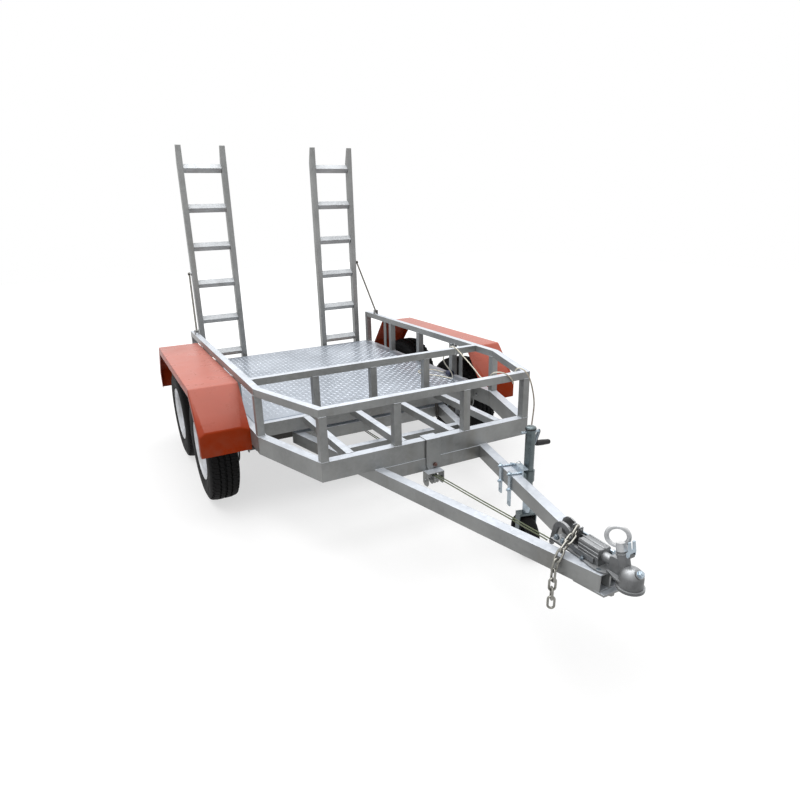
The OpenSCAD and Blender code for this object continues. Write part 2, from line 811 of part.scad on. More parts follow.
// Angle rungs, with the ridge on the side that is driven on
rung = 45;
module rungs()
    translate([0, oy, 0])
    for (i = [0:5])
    translate([0, ramp_y + 1, top + 1474 - i * rung_gap])
    plate_x(ramp_xi + stile_w, ramp_xo - stile_w, [[0, 0], [rung * 0.7071, rung * 0.7071],
        [rung * 0.7071 + 2.83, rung * 0.7071 - 2.83], [5.66, 0],
        [rung * 0.7071 + 2.83, 2.83 - rung * 0.7071], [rung * 0.7071, -rung * 0.7071]]);
module ramp_stiles_right()
    color(galv)
    stiles();
module ramp_stiles_left()
    color(galv)
    mirror([1, 0, 0])
    stiles();
module ramp_rungs_right()
    color(galv)
    rungs();
module ramp_rungs_left()
    color(galv)
    mirror([1, 0, 0])
    rungs();
module ramp_lugs()
    color(galv)
    translate([0, oy, 0])
    both()
    for (x = [ramp_xi, ramp_xo - stile_w]) {
        for (d = [-13, stile_w + 5])
            plate_x(x + d, x + d + 8, [[bed_l, low + 10], [bed_l, top - 10], [hinge_y - 10, hinge_z + 20],
                [hinge_y + 18, hinge_z + 14], [hinge_y + 18, hinge_z - 14], [hinge_y - 10, hinge_z - 22]]);
        rod_x(x - 13, x + stile_w + 13, hinge_y, hinge_z, 7.95);
    }
stay_len = norm([stay_top_x - stay_x, stay_top_y - stay_y, stay_top_z - stay_z]);
module stay()
    translate([0, oy, 0]) {
        difference() {
            rod_x(stay_x - 5, stay_x + 5, stay_y, stay_z, 13);
            rod_x(stay_x - 6, stay_x + 6, stay_y, stay_z, 6);
        }
        difference() {
            translate([stay_x, stay_y, stay_z])
                rotate([0, 0, atan2(stay_top_y - stay_y, stay_top_x - stay_x)])
                rotate([0, acos((stay_top_z - stay_z) / stay_len), 0])
                translate([0, 0, 10])
                cylinder(h = stay_len - 16, r = 7);
            rod_x(stay_x - 20, stay_x + 20, stay_y, stay_z, 9);
        }
        rod_x(stay_top_x - 5, stay_top_x + 5, stay_top_y, stay_top_z, 13);
        rod_x(stay_top_x + 5, stay_top_x + 12, stay_top_y, stay_top_z, 9);
    }
module stay_right()
    color(galv)
    stay();
module stay_left()
    color(galv)
    mirror([1, 0, 0])
    stay();
module stay_brackets()
    color(galv)
    translate([0, oy, 0])
    both() {
        for (x = [stay_x - 16, stay_x + 10])
            plate_x(x, x + 6, [[stay_y - 16, rail_z], [stay_y + 16, rail_z], [stay_y + 12, stay_z + 12],
                [stay_y - 12, stay_z + 12]]);
        rod_x(stay_x - 16, stay_x + 20, stay_y, stay_z, 5.95);
    }

// Lamps on the rear beam, between the ramps' lugs
module tail_lamps()
    color([0.6, 0.1, 0.08])
    translate([0, oy, 0])
    both() {
        box(418, 638, bed_l, bed_l + 12, low + 22, low + 86);
        for (x = [424, 496, 568])
            difference() {
                box(x, x + 64, bed_l + 12, bed_l + 26, low + 27, low + 81);
                translate([x, bed_l + 26, low + 54])
                    rotate([0, 90, 0])
                    cylinder(h = 64, r = 3);
            }
    }

// Lead
// From the drawbar rail it sags under the jockey wheel's tube, climbs over the railing's corner, winds
// once round the front rail, sags to the middle rail and ends in a plug on the deck
lead_r = 3.75;
lead_route = [[266, -263, 388], [267, -263, 372], [277, -262, 352], [302, -258, 337], [346, -250, 328],
    [398, -232, 323], [446, -210, 322], [488, -186, 327], [515, -166, 336], [540, -145, 350],
    [565, -120, 374], [582, -100, 403], [594, -82, 437], [601, -66, 480], [605, -56, 537],
    [609, -57, 600], [611, -59, 656], [607, -58, 703], [600, -54, 745], [590, -45, 795],
    [580, -34, 829], [570, -20, 850], [562, -4, 860], [558, 15, 861], [556, 33, 853],
    [554, 45, 835], [552, 47.5, 812], [544, 44, 793], [531, 32, 785], [517, 13, 784],
    [505, -4, 790], [494, -10, 806], [478, -9, 826], [460, -5, 843], [440, 5, 854],
    [419, 22, 857], [406, 40, 852], [405, 60, 838], [412, 85, 815], [432, 118, 787],
    [458, 158, 763], [488, 205, 744], [520, 262, 731], [545, 320, 726], [562, 378, 730],
    [568, 425, 748], [571, 470, 768], [577, 530, 790], [582, 590, 811], [586, 640, 830],
    [589, 686, 843.5], [590, 708, 845], [588, 731, 843.5], [577, 749, 824], [562, 764, 797],
    [556, 778, 762], [573, 788, 724], [600, 798, 693], [632, 806, 655], [655, 818, 622],
    [670, 838, 597], [677, 864, 584], [676, 895, 580.2], [665, 930, 580.2], [640, 985, 580.2],
    [605, 1045, 580.2], [580, 1100, 580.2], [581, 1150, 580.2], [612, 1178, 580.2],
    [655, 1178, 580.2], [692, 1150, 580.2], [714, 1108, 580.2], [720, 1065, 580.4],
    [718, 1034, 583], [716.4, 1012, 588.9], [716, 991.2, 591.6]];
module lead_gland()
    color(dark)
    translate([0, oy, 0])
    translate([266, -263, 388])
    rotate_extrude($fn = 32)
    polygon([[0, 0], [5, 0], [7, 8], [11, 9], [11, 12], [0, 12]]);
module wiring_lead()
    color([0.80, 0.80, 0.74])
    translate([0, oy, 0])
    sweep(lead_route, lead_r);
// Trailer plug with a ribbed grip and a collar
module lead_plug()
    color(dark)
    translate([0, oy, 0])
    translate([716, 991, 591.6])
    rotate([83, 0, 0])
    rotate_extrude()
    polygon([[0, 0], [5.5, 0], [7, 12], [12, 17], [18, 21], [18.5, 25], [17.5, 26], [17.5, 28], [18.5, 29],
        [18.5, 32], [17.5, 33], [17.5, 35], [18.5, 36], [18.5, 39], [17.5, 40], [17.5, 42], [19, 43],
        [19, 51], [21.5, 52], [21.5, 62], [19.5, 63], [19.5, 74], [16.5, 74], [16.5, 58], [0, 58]]);

deck_plate();
front_beam();
chamfer_beams();
side_beams();
rear_beam();
cross_members();
bucket_joists();
drawbar_rail_left();
drawbar_rail_right();
drawbar_ties();
front_rail();
chamfer_rails();
side_rails();
mid_rail();
railing_posts();
mudguard_left();
mudguard_right();
mudguard_brackets();
spring_hangers();
rockers();
leaf_springs();
axles();
tyre_front_left();
tyre_rear_left();
tyre_front_right();
tyre_rear_right();
wheel_front_left();
wheel_rear_left();
wheel_front_right();
wheel_rear_right();
coupling_base();
coupling_head();
ring_handle();
coupling_latch();
brake_arm();
handbrake_quadrant();
handbrake_lever();
pulley_bracket();
brake_cables();
safety_chain();
jockey_clamp();
jockey_tube();
jockey_leg();
jockey_fork();
jockey_wheel();
jockey_crank();
ramp_stiles_left();
ramp_stiles_right();
ramp_rungs_left();
ramp_rungs_right();
ramp_lugs();
stay_left();
stay_right();
stay_brackets();
tail_lamps();
lead_gland();
wiring_lead();
lead_plug();
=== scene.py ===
"""Tandem axle plant trailer: finishes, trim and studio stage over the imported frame."""
import json
import math

import bmesh
import bpy
from bpy.props import FloatProperty, FloatVectorProperty, PointerProperty
from mathutils import Matrix, Vector


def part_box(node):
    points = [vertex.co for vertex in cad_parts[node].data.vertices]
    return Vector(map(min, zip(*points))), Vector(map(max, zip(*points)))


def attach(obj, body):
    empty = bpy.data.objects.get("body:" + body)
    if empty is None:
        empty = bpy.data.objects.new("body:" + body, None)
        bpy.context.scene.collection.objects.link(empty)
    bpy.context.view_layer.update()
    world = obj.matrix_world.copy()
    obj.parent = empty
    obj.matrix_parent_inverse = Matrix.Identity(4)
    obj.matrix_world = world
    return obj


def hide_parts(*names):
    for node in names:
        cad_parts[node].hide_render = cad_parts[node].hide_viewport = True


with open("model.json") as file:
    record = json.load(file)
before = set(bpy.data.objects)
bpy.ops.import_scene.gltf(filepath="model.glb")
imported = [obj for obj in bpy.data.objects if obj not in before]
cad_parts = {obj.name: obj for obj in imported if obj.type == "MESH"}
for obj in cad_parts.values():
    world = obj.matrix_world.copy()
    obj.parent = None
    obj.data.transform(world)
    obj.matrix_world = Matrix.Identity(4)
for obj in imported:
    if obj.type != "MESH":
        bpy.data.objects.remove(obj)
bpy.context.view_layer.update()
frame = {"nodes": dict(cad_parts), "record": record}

bl_info = {
    "name": "Plant Trailer",
    "version": (1, 0, 0),
    "blender": (4, 5, 0),
    "location": "View3D > Sidebar > Trailer",
    "description": "Dresses a tandem axle plant trailer and sets its studio stage",
    "category": "Object",
}

MM = 0.001
# Where the front beam's face lies along Y. A place in millimetres is measured across from the middle, back
# from that face and up from the ground
FACE_Y = -0.597

# The beams' underside, top and thickness, the rails' underside and top, and half the side of the railings'
# square tube
BEAM_UNDER, BEAM_TOP, BEAM_THICK = 470, 570, 50
RAIL_UNDER, RAIL_TOP = 798, 838
HALF_TUBE = 20
# Middles of the posts: along the sides, across the front and across the middle rail
SIDE_POST_X, SIDE_POSTS = 770, (522, 986, 1451, 1915, 2380)
FRONT_POST_Y, FRONT_POSTS = 20, (-602, -207.3, 207.3, 602)
MIDDLE_POST_Y, MIDDLE_POSTS = 710, (-375, 0, 375)
# Mitres of the rails on the right side, where the front, the chamfer and the side meet
RAIL_MITRES = ((602, 40), (790, 502))
# Joists of the bay, their two ends, and their underside
JOISTS, JOIST_ENDS, JOIST_UNDER = (-450, -150, 150, 450), (BEAM_THICK, 690), 531
# Where a drawbar rail leaves the front beam at its face and at its back: inner and outer edge
RAIL_AT_FACE, RAIL_AT_BACK = (293, 344), (280, 331.6)
# Rungs of a ramp: how many, their ends, height of the topmost and distance between two, and then ridge, edge
# and reach of the angle
RUNGS, RUNG_ENDS, TOP_RUNG, RUNG_GAP = 6, (385.5, 669.5), 2044, 286
RUNG_RIDGE, RUNG_EDGE, RUNG_REACH = 2461, 2490, 29
# Middles of the leaf springs and of the axles, and the jockey tube's axis across and back
SPRING_X, AXLES = 764.5, (1110, 1910)
JOCKEY_AXIS = (314.03, -377.94)

# Route of the wiring lead, from its gland to the plug
LEAD_ROUTE = (
    (266, -263, 388), (267, -263, 372), (277, -262, 352), (302, -258, 337), (346, -250, 328),
    (398, -232, 323), (446, -210, 322), (488, -186, 327), (515, -166, 336), (540, -145, 350),
    (565, -120, 374), (582, -100, 403), (594, -82, 437), (601, -66, 480), (605, -56, 537), (609, -57, 600),
    (611, -59, 656), (607, -58, 703), (600, -54, 745), (590, -45, 795), (580, -34, 829), (570, -20, 850),
    (562, -4, 860), (558, 15, 861), (556, 33, 853), (554, 45, 835), (552, 47.5, 812), (544, 44, 793),
    (531, 32, 785), (517, 13, 784), (505, -4, 790), (494, -10, 806), (478, -9, 826), (460, -5, 843),
    (440, 5, 854), (419, 22, 857), (406, 40, 852), (405, 60, 838), (412, 85, 815), (432, 118, 787),
    (458, 158, 763), (488, 205, 744), (520, 262, 731), (545, 320, 726), (562, 378, 730), (568, 425, 748),
    (571, 470, 768), (577, 530, 790), (582, 590, 811), (586, 640, 830), (589, 686, 843.5), (590, 708, 845),
    (588, 731, 843.5), (577, 749, 824), (562, 764, 797), (556, 778, 762), (573, 788, 724), (600, 798, 693),
    (632, 806, 655), (655, 818, 622), (670, 838, 597), (677, 864, 584), (676, 895, 580.2), (665, 930, 580.2),
    (640, 985, 580.2), (605, 1045, 580.2), (580, 1100, 580.2), (581, 1150, 580.2), (612, 1178, 580.2),
    (655, 1178, 580.2), (692, 1150, 580.2), (714, 1108, 580.2), (720, 1065, 580.4), (718, 1034, 583),
    (716.4, 1012, 588.9), (716, 991.2, 591.6),
)
LEAD_DIAMETER = 0.0075
CABLE_DIAMETER = 0.006
# Where the plug ends, and the way from it back along the lead
PLUG_END = (716, 991, 591.6)
PLUG_AXIS = (0.02, 0.9925, -0.1219)

# Direction of the jockey crank's shaft, and how far along it the grip starts in metres
CRANK_AXIS = (0.97047, -0.24098, 0.0)
GRIP_START = 0.5822

# Profile of a mudguard and the inner edge of its lip, as (y, z), from flap to flap
GUARD_FOLDS = ((670, 440), (670, 579), (857, 790), (2130, 790), (2317, 579), (2317, 440))
GUARD_LIP = ((719, 440), (719, 561), (879, 741), (2108, 741), (2268, 561), (2268, 440))
# Its sides across, its sheet in metres, the rounding of its folds, and the rounding of its outer edge with
# how far in that starts
GUARD_INNER, GUARD_OUTER = 790, 1070
GUARD_SHEET = 0.002
FOLD_ROUND = 9
EDGE_ROUND, EDGE_START = 6, 1.8
# Width and drop of its bent corners, inside and outside, and the folds that they are at
CORNERS = ((50, 20), (28, 16))
BENT_FOLDS = (1, 4)

# Tread of a road tyre: blocks round it, radius at their tops and at the shoulders' edges, floor of the
# grooves, and skew of a block
TREAD_BLOCKS = 56
TREAD_TOP, TREAD_SHOULDER, TREAD_FLOOR = 325, 319, 311
TREAD_SKEW = 3.0

# The camera that took the photograph: its heading, height and roll in degrees, the point it looks at, and
# how far from it the camera stands in metres
CAMERA_TURN = (-26.529, 18.783, -1.775)
CAMERA_AIM = (0.039, 558.516, 570.025)
CAMERA_DISTANCE = 3.479
# Focal length, side of the picture and centre of the view in pixels, and width of the sensor in millimetres
FOCAL = 578.892
PICTURE = 800.0
CENTRE = (384.631, 408.891)
SENSOR = 36.0


# Settings

def colour(name, what, value):
    """A colour that a user may change"""
    return FloatVectorProperty(name=name, description=what, default=value, subtype="COLOR",
                               size=3, min=0.0, max=1.0)


class TRAILER_PG_finish(bpy.types.PropertyGroup):
    """Colours of the trailer's finishes"""
    zinc: colour("Zinc", "Hot-dip zinc on the frame, railings and ramps", (0.235, 0.24, 0.238))
    # Painted highlight: the lighter colour that the zinc's upward faces are mixed towards, in place of light
    # from above
    zinc_painted_highlight: colour("Zinc, upper faces", "Brighter zinc on the faces that look up", (0.66, 0.70, 0.76))
    deck: colour("Deck", "Checker plate of the deck", (0.415, 0.46, 0.525))
    lozenge: colour("Lozenges", "Rubbed tops of the deck's lozenges", (0.68, 0.725, 0.79))
    paint: colour("Mudguard paint", "Orange-red paint of the mudguards", (0.33, 0.034, 0.005))
    rubber: colour("Tyre rubber", "Tyre and jockey wheel rubber", (0.007, 0.007, 0.0075))
    rim: colour("Wheel lacquer", "Silver lacquer of the wheels", (0.62, 0.64, 0.67))
    casting: colour("Casting", "Plated casting of the coupling", (0.19, 0.195, 0.20))
    plating: colour("Bright zinc", "Bright zinc plate on pins and clamps", (0.36, 0.42, 0.47))
    chain: colour("Chain plating", "Worn zinc plate on the safety chain", (0.23, 0.225, 0.205))
    stay: colour("Stay rods", "Weathered rods that hold the ramps up", (0.075, 0.072, 0.062))
    passivated: colour("Jockey tube", "Grey-blue passivated zinc of the jockey tube", (0.105, 0.128, 0.135))
    jacket: colour("Cable jacket", "Olive jacket of the brake cables", (0.10, 0.12, 0.06))
    sheath: colour("Lead sheath", "Pale sheath of the wiring lead", (0.62, 0.58, 0.48))


class TRAILER_PG_sizes(bpy.types.PropertyGroup):
    """Sizes of the trim"""
    lozenge_pitch: FloatProperty(name="Lozenge pitch",
                                 description="Distance between the deck's raised lozenges",
                                 default=0.032, min=0.02, max=0.06, unit="LENGTH")
    lozenge_length: FloatProperty(name="Lozenge length", description="Length of one raised lozenge",
                                  default=0.026, min=0.01, max=0.05, unit="LENGTH")
    lozenge_height: FloatProperty(name="Lozenge height",
                                  description="How far a lozenge stands above the plate",
                                  default=0.0015, min=0.0005, max=0.002, unit="LENGTH")


class TRAILER_PG_stage(bpy.types.PropertyGroup):
    """Light and floor"""
    floor: colour("Floor", "Colour of the studio floor", (0.38, 0.38, 0.38))
    key: FloatProperty(name="Key lamp", description="Power of the large lamp overhead", default=330.0,
                       min=0.0, max=3000.0, unit="POWER")
    fill: FloatProperty(name="Fill lamp", description="Power of the lamp beside the camera", default=22.0,
                        min=0.0, max=3000.0, unit="POWER")
    sky: FloatProperty(name="Room light", description="Strength of the even light from all round",
                       default=0.42, min=0.0, max=2.0)


# Helpers for materials

class Finish:
    """A material's node tree, written one node per call"""

    def __init__(self, name):
        self.material = bpy.data.materials.new(name)
        self.material.use_nodes = True
        self.tree = self.material.node_tree
        self.shader = self.tree.nodes["Principled BSDF"]
        self.place = self.tree.nodes.new("ShaderNodeTexCoord").outputs["Object"]

    def node(self, kind, **values):
        """A new node, with its settings"""
        made = self.tree.nodes.new("ShaderNode" + kind)
        for key, value in values.items():
            setattr(made, key, value)
        return made

    def link(self, out, into):
        self.tree.links.new(out, into)

    def stretch(self, scale):
        """Object coordinates scaled along each axis"""
        made = self.node("Mapping")
        made.inputs["Scale"].default_value = scale
        self.link(self.place, made.inputs["Vector"])
        return made.outputs["Vector"]

    def noise(self, scale, detail=3.0, rough=0.55, source=None):
        """Clouds, the finer the higher the scale"""
        made = self.node("TexNoise")
        made.inputs["Scale"].default_value = scale
        made.inputs["Detail"].default_value = detail
        made.inputs["Roughness"].default_value = rough
        self.link(source or self.place, made.inputs["Vector"])
        return made.outputs["Fac"]

    def cells(self, scale):
        """A flat colour of its own in every cell"""
        made = self.node("TexVoronoi")
        made.inputs["Scale"].default_value = scale
        self.link(self.place, made.inputs["Vector"])
        return made.outputs["Color"]

    def levels(self, source, low, high, to_low=0.0, to_high=1.0):
        """A value carried over from one range to another"""
        made = self.node("MapRange")
        for key, value in (("From Min", low), ("From Max", high), ("To Min", to_low), ("To Max", to_high)):
            made.inputs[key].default_value = value
        self.link(source, made.inputs["Value"])
        return made.outputs["Result"]

    def sums(self, operation, a, b):
        """Arithmetic on two values, each a number or an output"""
        made = self.node("Math", operation=operation)
        for slot, value in ((0, a), (1, b)):
            if isinstance(value, (int, float)):
                made.inputs[slot].default_value = value
            else:
                self.link(value, made.inputs[slot])
        return made.outputs[0]

    def mix(self, amount, a, b):
        """A colour between two, each a tuple or an output"""
        made = self.node("Mix", data_type="RGBA")
        self.link(amount, made.inputs["Factor"])
        for slot, value in ((6, a), (7, b)):
            if isinstance(value, bpy.types.NodeSocket):
                self.link(value, made.inputs[slot])
            else:
                made.inputs[slot].default_value = (*value[:3], 1.0)
        return made.outputs[2]

    def parts(self, vector):
        """The X, Y and Z of a vector"""
        split = self.node("SeparateXYZ")
        self.link(vector, split.inputs[0])
        return split.outputs

    def facing_up(self):
        """How far a face looks up, from -1 to 1"""
        return self.parts(self.node("NewGeometry").outputs["Normal"])["Z"]

    def height(self):
        """How high a point lies in metres"""
        return self.parts(self.place)["Z"]

    def soften(self, radius):
        """Rounds the look of sharp edges by a radius"""
        made = self.node("Bevel", samples=4)
        made.inputs["Radius"].default_value = radius
        self.link(made.outputs["Normal"], self.shader.inputs["Normal"])

    def along(self, direction):
        """How far a point lies along a direction"""
        made = self.node("VectorMath", operation="DOT_PRODUCT")
        made.inputs[1].default_value = direction
        self.link(self.place, made.inputs[0])
        return made.outputs["Value"]

    def bump(self, source, depth, strength):
        """Adds a relief to the one that is there"""
        made = self.node("Bump")
        made.inputs["Distance"].default_value = depth
        made.inputs["Strength"].default_value = strength
        self.link(source, made.inputs["Height"])
        previous = self.shader.inputs["Normal"].links
        if previous:
            self.link(previous[0].from_socket, made.inputs["Normal"])
        self.link(made.outputs["Normal"], self.shader.inputs["Normal"])

    def base(self, out):
        """Gives the shader its colour"""
        self.link(out, self.shader.inputs["Base Color"])

    def rough(self, out):
        """Gives the shader its roughness, a number or an output"""
        if isinstance(out, (int, float)):
            self.shader.inputs["Roughness"].default_value = out
        else:
            self.link(out, self.shader.inputs["Roughness"])

    def plain(self, **values):
        """Sets numbers on the shader, with _ for the spaces in their names"""
        for key, value in values.items():
            self.shader.inputs[key.replace("_", " ")].default_value = value


def shade(rgb, factor):
    """A colour made brighter or darker"""
    return tuple(min(1.0, c * factor) for c in rgb[:3])


def galvanised(rgb, above, name="galvanised steel", metal=0.5, mirror=0.5):
    """Hot-dip zinc with its spangle and its brown runs, and a painted highlight on the faces that look up"""
    f = Finish(name)
    grey = f.node("RGBToBW")
    f.link(f.cells(60.0), grey.inputs[0])
    spangle = grey.outputs[0]
    cloud = f.noise(3.5, 4.0)
    runs = f.noise(9.0, 3.0, source=f.stretch((1.0, 1.0, 0.12)))
    body = f.mix(f.levels(cloud, 0.35, 0.65), shade(rgb, 0.84), shade(rgb, 1.16))
    body = f.mix(f.levels(spangle, 0.2, 0.9, 0.0, 0.16), body, shade(rgb, 1.7))
    body = f.mix(f.levels(runs, 0.55, 0.78, 0.0, 0.4), body, (0.17, 0.155, 0.13))
    # Painted highlight: the faces that look up are mixed towards this lighter colour, more the more they
    # look up
    bright = f.mix(f.levels(cloud, 0.3, 0.7), shade(above, 0.88), shade(above, 1.1))
    bright = f.mix(f.levels(spangle, 0.2, 0.9, 0.0, 0.14), bright, (0.95, 0.97, 1.0))
    f.base(f.mix(f.levels(f.facing_up(), 0.45, 1.0), body, bright))
    f.rough(f.levels(spangle, 0.0, 1.0, 0.34, 0.50))
    f.plain(Metallic=metal, Specular_IOR_Level=mirror)
    f.soften(0.003)
    f.bump(f.noise(38.0, 2.0), 0.0006, 0.3)
    return f.material


def checker(rgb):
    """The deck's plate, with clouds of wear and streaks of dirt across it"""
    f = Finish("checker plate")
    wear = f.noise(2.2, 5.0, 0.6)
    scuff = f.noise(30.0, 3.0, 0.7, source=f.stretch((0.2, 1.0, 1.0)))
    body = f.mix(f.levels(wear, 0.35, 0.7), shade(rgb, 1.12), shade(rgb, 0.80))
    body = f.mix(f.levels(scuff, 0.6, 0.8, 0.0, 0.4), body, (0.25, 0.23, 0.20))
    f.base(body)
    f.rough(f.levels(wear, 0.3, 0.7, 0.24, 0.40))
    f.plain(Metallic=0.6)
    return f.material


def rubbed(rgb):
    """Lozenges worn bright, with dirt in their grain"""
    f = Finish("rubbed lozenges")
    wear = f.noise(2.2, 5.0, 0.6)
    grain = f.noise(90.0, 3.0)
    body = f.mix(f.levels(wear, 0.35, 0.7), rgb, shade(rgb, 0.72))
    f.base(f.mix(f.levels(grain, 0.5, 0.8, 0.0, 0.3), body, shade(rgb, 0.5)))
    f.rough(f.levels(grain, 0.3, 0.7, 0.28, 0.42))
    f.plain(Metallic=0.45)
    return f.material


def paint(rgb):
    """Mudguard paint with a pale painted highlight on its slopes and top, scuffs there, and dust low on the
    flaps
    """
    f = Finish("mudguard paint")
    cloud = f.noise(3.0, 4.0)
    dust = f.noise(12.0, 5.0, 0.65)
    scuff = f.noise(26.0, 4.0, 0.7, source=f.stretch((1.0, 0.3, 1.0)))
    body = f.mix(f.levels(cloud, 0.3, 0.7), shade(rgb, 0.88), shade(rgb, 1.12))
    # Painted reflection: the slopes and the top are mixed towards a pale pink the more they look up, in
    # place of the sky's light on the gloss
    slope = f.levels(f.facing_up(), 0.60, 0.655, 0.0, 0.25)
    flat = f.levels(f.facing_up(), 0.66, 0.95, 0.0, 0.17)
    painted_sky_sheen = f.sums("MULTIPLY", f.sums("ADD", slope, flat), f.levels(cloud, 0.3, 0.7, 0.85, 1.0))
    body = f.mix(painted_sky_sheen, body, (0.72, 0.36, 0.31))
    marks = f.sums("MULTIPLY", f.levels(f.facing_up(), 0.3, 1.0, 0.0, 0.16), f.levels(scuff, 0.52, 0.9))
    body = f.mix(marks, body, (0.44, 0.19, 0.15))
    low = f.levels(f.height(), 0.62, 0.45, 0.0, 0.25)
    body = f.mix(f.sums("MULTIPLY", low, f.levels(dust, 0.4, 0.65)), body, (0.18, 0.12, 0.09))
    f.base(body)
    f.rough(f.levels(dust, 0.3, 0.7, 0.24, 0.38))
    f.link(f.levels(f.facing_up(), 0.2, 0.6, 0.05, 0.2), f.shader.inputs["Specular IOR Level"])
    f.bump(f.noise(5.0, 2.0), 0.004, 0.12)
    return f.material


def rubber(rgb):
    """Tyre rubber with a little road dust"""
    f = Finish("tyre rubber")
    dust = f.noise(14.0, 5.0, 0.65)
    f.base(f.mix(f.levels(dust, 0.45, 0.8, 0.0, 0.16), rgb, (0.05, 0.045, 0.04)))
    f.rough(f.levels(dust, 0.3, 0.7, 0.6, 0.8))
    f.plain(Specular_IOR_Level=0.12)
    f.bump(f.noise(220.0, 2.0), 0.0004, 0.4)
    return f.material


def lacquer(rgb):
    """Silver lacquer of the wheels, with road dust"""
    f = Finish("wheel lacquer")
    dust = f.noise(16.0, 5.0, 0.6)
    f.base(f.mix(f.levels(dust, 0.45, 0.8, 0.0, 0.5), rgb, (0.30, 0.27, 0.23)))
    f.rough(f.levels(dust, 0.3, 0.7, 0.3, 0.5))
    f.plain(Metallic=0.5)
    return f.material


def casting(rgb):
    """A plated casting with its sand grain, and a painted highlight that makes the faces that look up
    lighter
    """
    f = Finish("plated casting")
    cloud = f.noise(18.0, 4.0, 0.6)
    body = f.mix(f.levels(cloud, 0.3, 0.7), shade(rgb, 0.5), shade(rgb, 1.0))
    # Painted highlight: faces that look up are mixed towards a colour three times lighter
    body = f.mix(f.levels(f.facing_up(), 0.25, 0.95, 0.0, 0.7), body, shade(rgb, 3.0))
    f.base(body)
    f.rough(f.levels(cloud, 0.3, 0.7, 0.34, 0.52))
    f.plain(Metallic=0.6)
    f.soften(0.0025)
    f.bump(f.noise(260.0, 2.0), 0.0004, 0.5)
    return f.material


def bright_zinc(rgb, name="bright zinc plate"):
    """Thin plating, with a painted highlight that makes the faces that look up lighter"""
    f = Finish(name)
    cloud = f.noise(24.0, 4.0, 0.6)
    body = f.mix(f.levels(cloud, 0.35, 0.7), shade(rgb, 0.80), shade(rgb, 1.2))
    # Painted highlight: faces that look up are mixed towards a colour 1.9 times lighter
    body = f.mix(f.levels(f.facing_up(), 0.2, 0.95, 0.0, 0.7), body, shade(rgb, 1.9))
    f.base(body)
    f.rough(f.levels(cloud, 0.3, 0.7, 0.22, 0.38))
    f.plain(Metallic=0.75)
    return f.material


def black_steel():
    """Black steel under patches of dirt"""
    f = Finish("black steel")
    dirt = f.noise(14.0, 5.0, 0.6)
    f.base(f.mix(f.levels(dirt, 0.35, 0.7), (0.022, 0.022, 0.024), (0.085, 0.078, 0.068)))
    f.rough(f.levels(dirt, 0.3, 0.7, 0.45, 0.75))
    f.plain(Metallic=0.2)
    return f.material


def crank_finish(rgb):
    """Plated steel arm with a black grip, which starts at a plane across the crank's shaft"""
    f = Finish("crank")
    grip = f.sums("GREATER_THAN", f.along(CRANK_AXIS), GRIP_START)
    cloud = f.noise(30.0, 4.0)
    steel = f.mix(f.levels(cloud, 0.3, 0.7), shade(rgb, 0.8), shade(rgb, 1.2))
    f.base(f.mix(grip, steel, (0.010, 0.010, 0.011)))
    f.rough(f.levels(grip, 0.0, 1.0, 0.32, 0.62))
    f.link(f.levels(grip, 0.0, 1.0, 0.7, 0.0), f.shader.inputs["Metallic"])
    f.soften(0.001)
    return f.material


def soiled_sheath(rgb):
    """Pale cord that has gone brown in front of the front railing, where it hangs in the spray"""
    f = Finish("lead sheath")
    ahead = f.levels(f.along((0.0, -1.0, 0.0)), 0.60, 0.66)
    streak = f.levels(f.noise(60.0, 3.0), 0.3, 0.7, 0.55, 1.0)
    f.base(f.mix(f.sums("MULTIPLY", ahead, streak), rgb, (0.17, 0.115, 0.085)))
    f.rough(0.4)
    return f.material


def plastic(name, rgb, low=0.35, high=0.55):
    """Plain plastic or rubber, as rough as the two bounds"""
    f = Finish(name)
    cloud = f.noise(60.0, 3.0)
    f.base(f.mix(f.levels(cloud, 0.3, 0.7), shade(rgb, 0.85), shade(rgb, 1.15)))
    f.rough(f.levels(cloud, 0.3, 0.7, low, high))
    return f.material


def lamp_lenses():
    """Ribbed lenses, red outside and amber inside, with pale painted highlights along the ribs, on a black
    backing
    """
    amber_to, backing = 0.492, 0.0125
    f = Finish("lamp lenses")
    at = f.parts(f.place)
    amber = f.sums("LESS_THAN", f.sums("ABSOLUTE", at["X"], 0.0), amber_to)
    ribs = f.node("TexWave", bands_direction="X")
    ribs.inputs["Scale"].default_value = 60.0
    f.link(f.place, ribs.inputs["Vector"])
    lens = f.mix(amber, (0.42, 0.012, 0.010), (0.75, 0.22, 0.012))
    # Painted highlight: pale streaks along the ribs
    lens = f.mix(f.levels(ribs.outputs["Fac"], 0.0, 1.0, 0.0, 0.25), lens, (0.85, 0.5, 0.4))
    bed_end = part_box("rear_beam")[1][1]
    back = f.sums("LESS_THAN", at["Y"], bed_end + backing)
    f.base(f.mix(back, lens, (0.02, 0.02, 0.022)))
    f.rough(f.levels(f.noise(30.0), 0.3, 0.7, 0.12, 0.3))
    f.bump(ribs.outputs["Fac"], 0.0006, 0.4)
    return f.material


def seeing_rays(tree):
    """One for rays from the camera, off mirrors or through glass, and nought for those that only light"""
    path = tree.nodes.new("ShaderNodeLightPath")
    seen = path.outputs["Is Camera Ray"]
    for kind in ("Is Glossy Ray", "Is Transmission Ray"):
        either = tree.nodes.new("ShaderNodeMath")
        either.operation = "MAXIMUM"
        tree.links.new(seen, either.inputs[0])
        tree.links.new(path.outputs[kind], either.inputs[1])
        seen = either.outputs[0]
    return seen


def dress(material, *nodes):
    """Puts a material on CAD nodes"""
    for name in nodes:
        mesh = frame["nodes"][name].data
        mesh.materials.clear()
        mesh.materials.append(material)


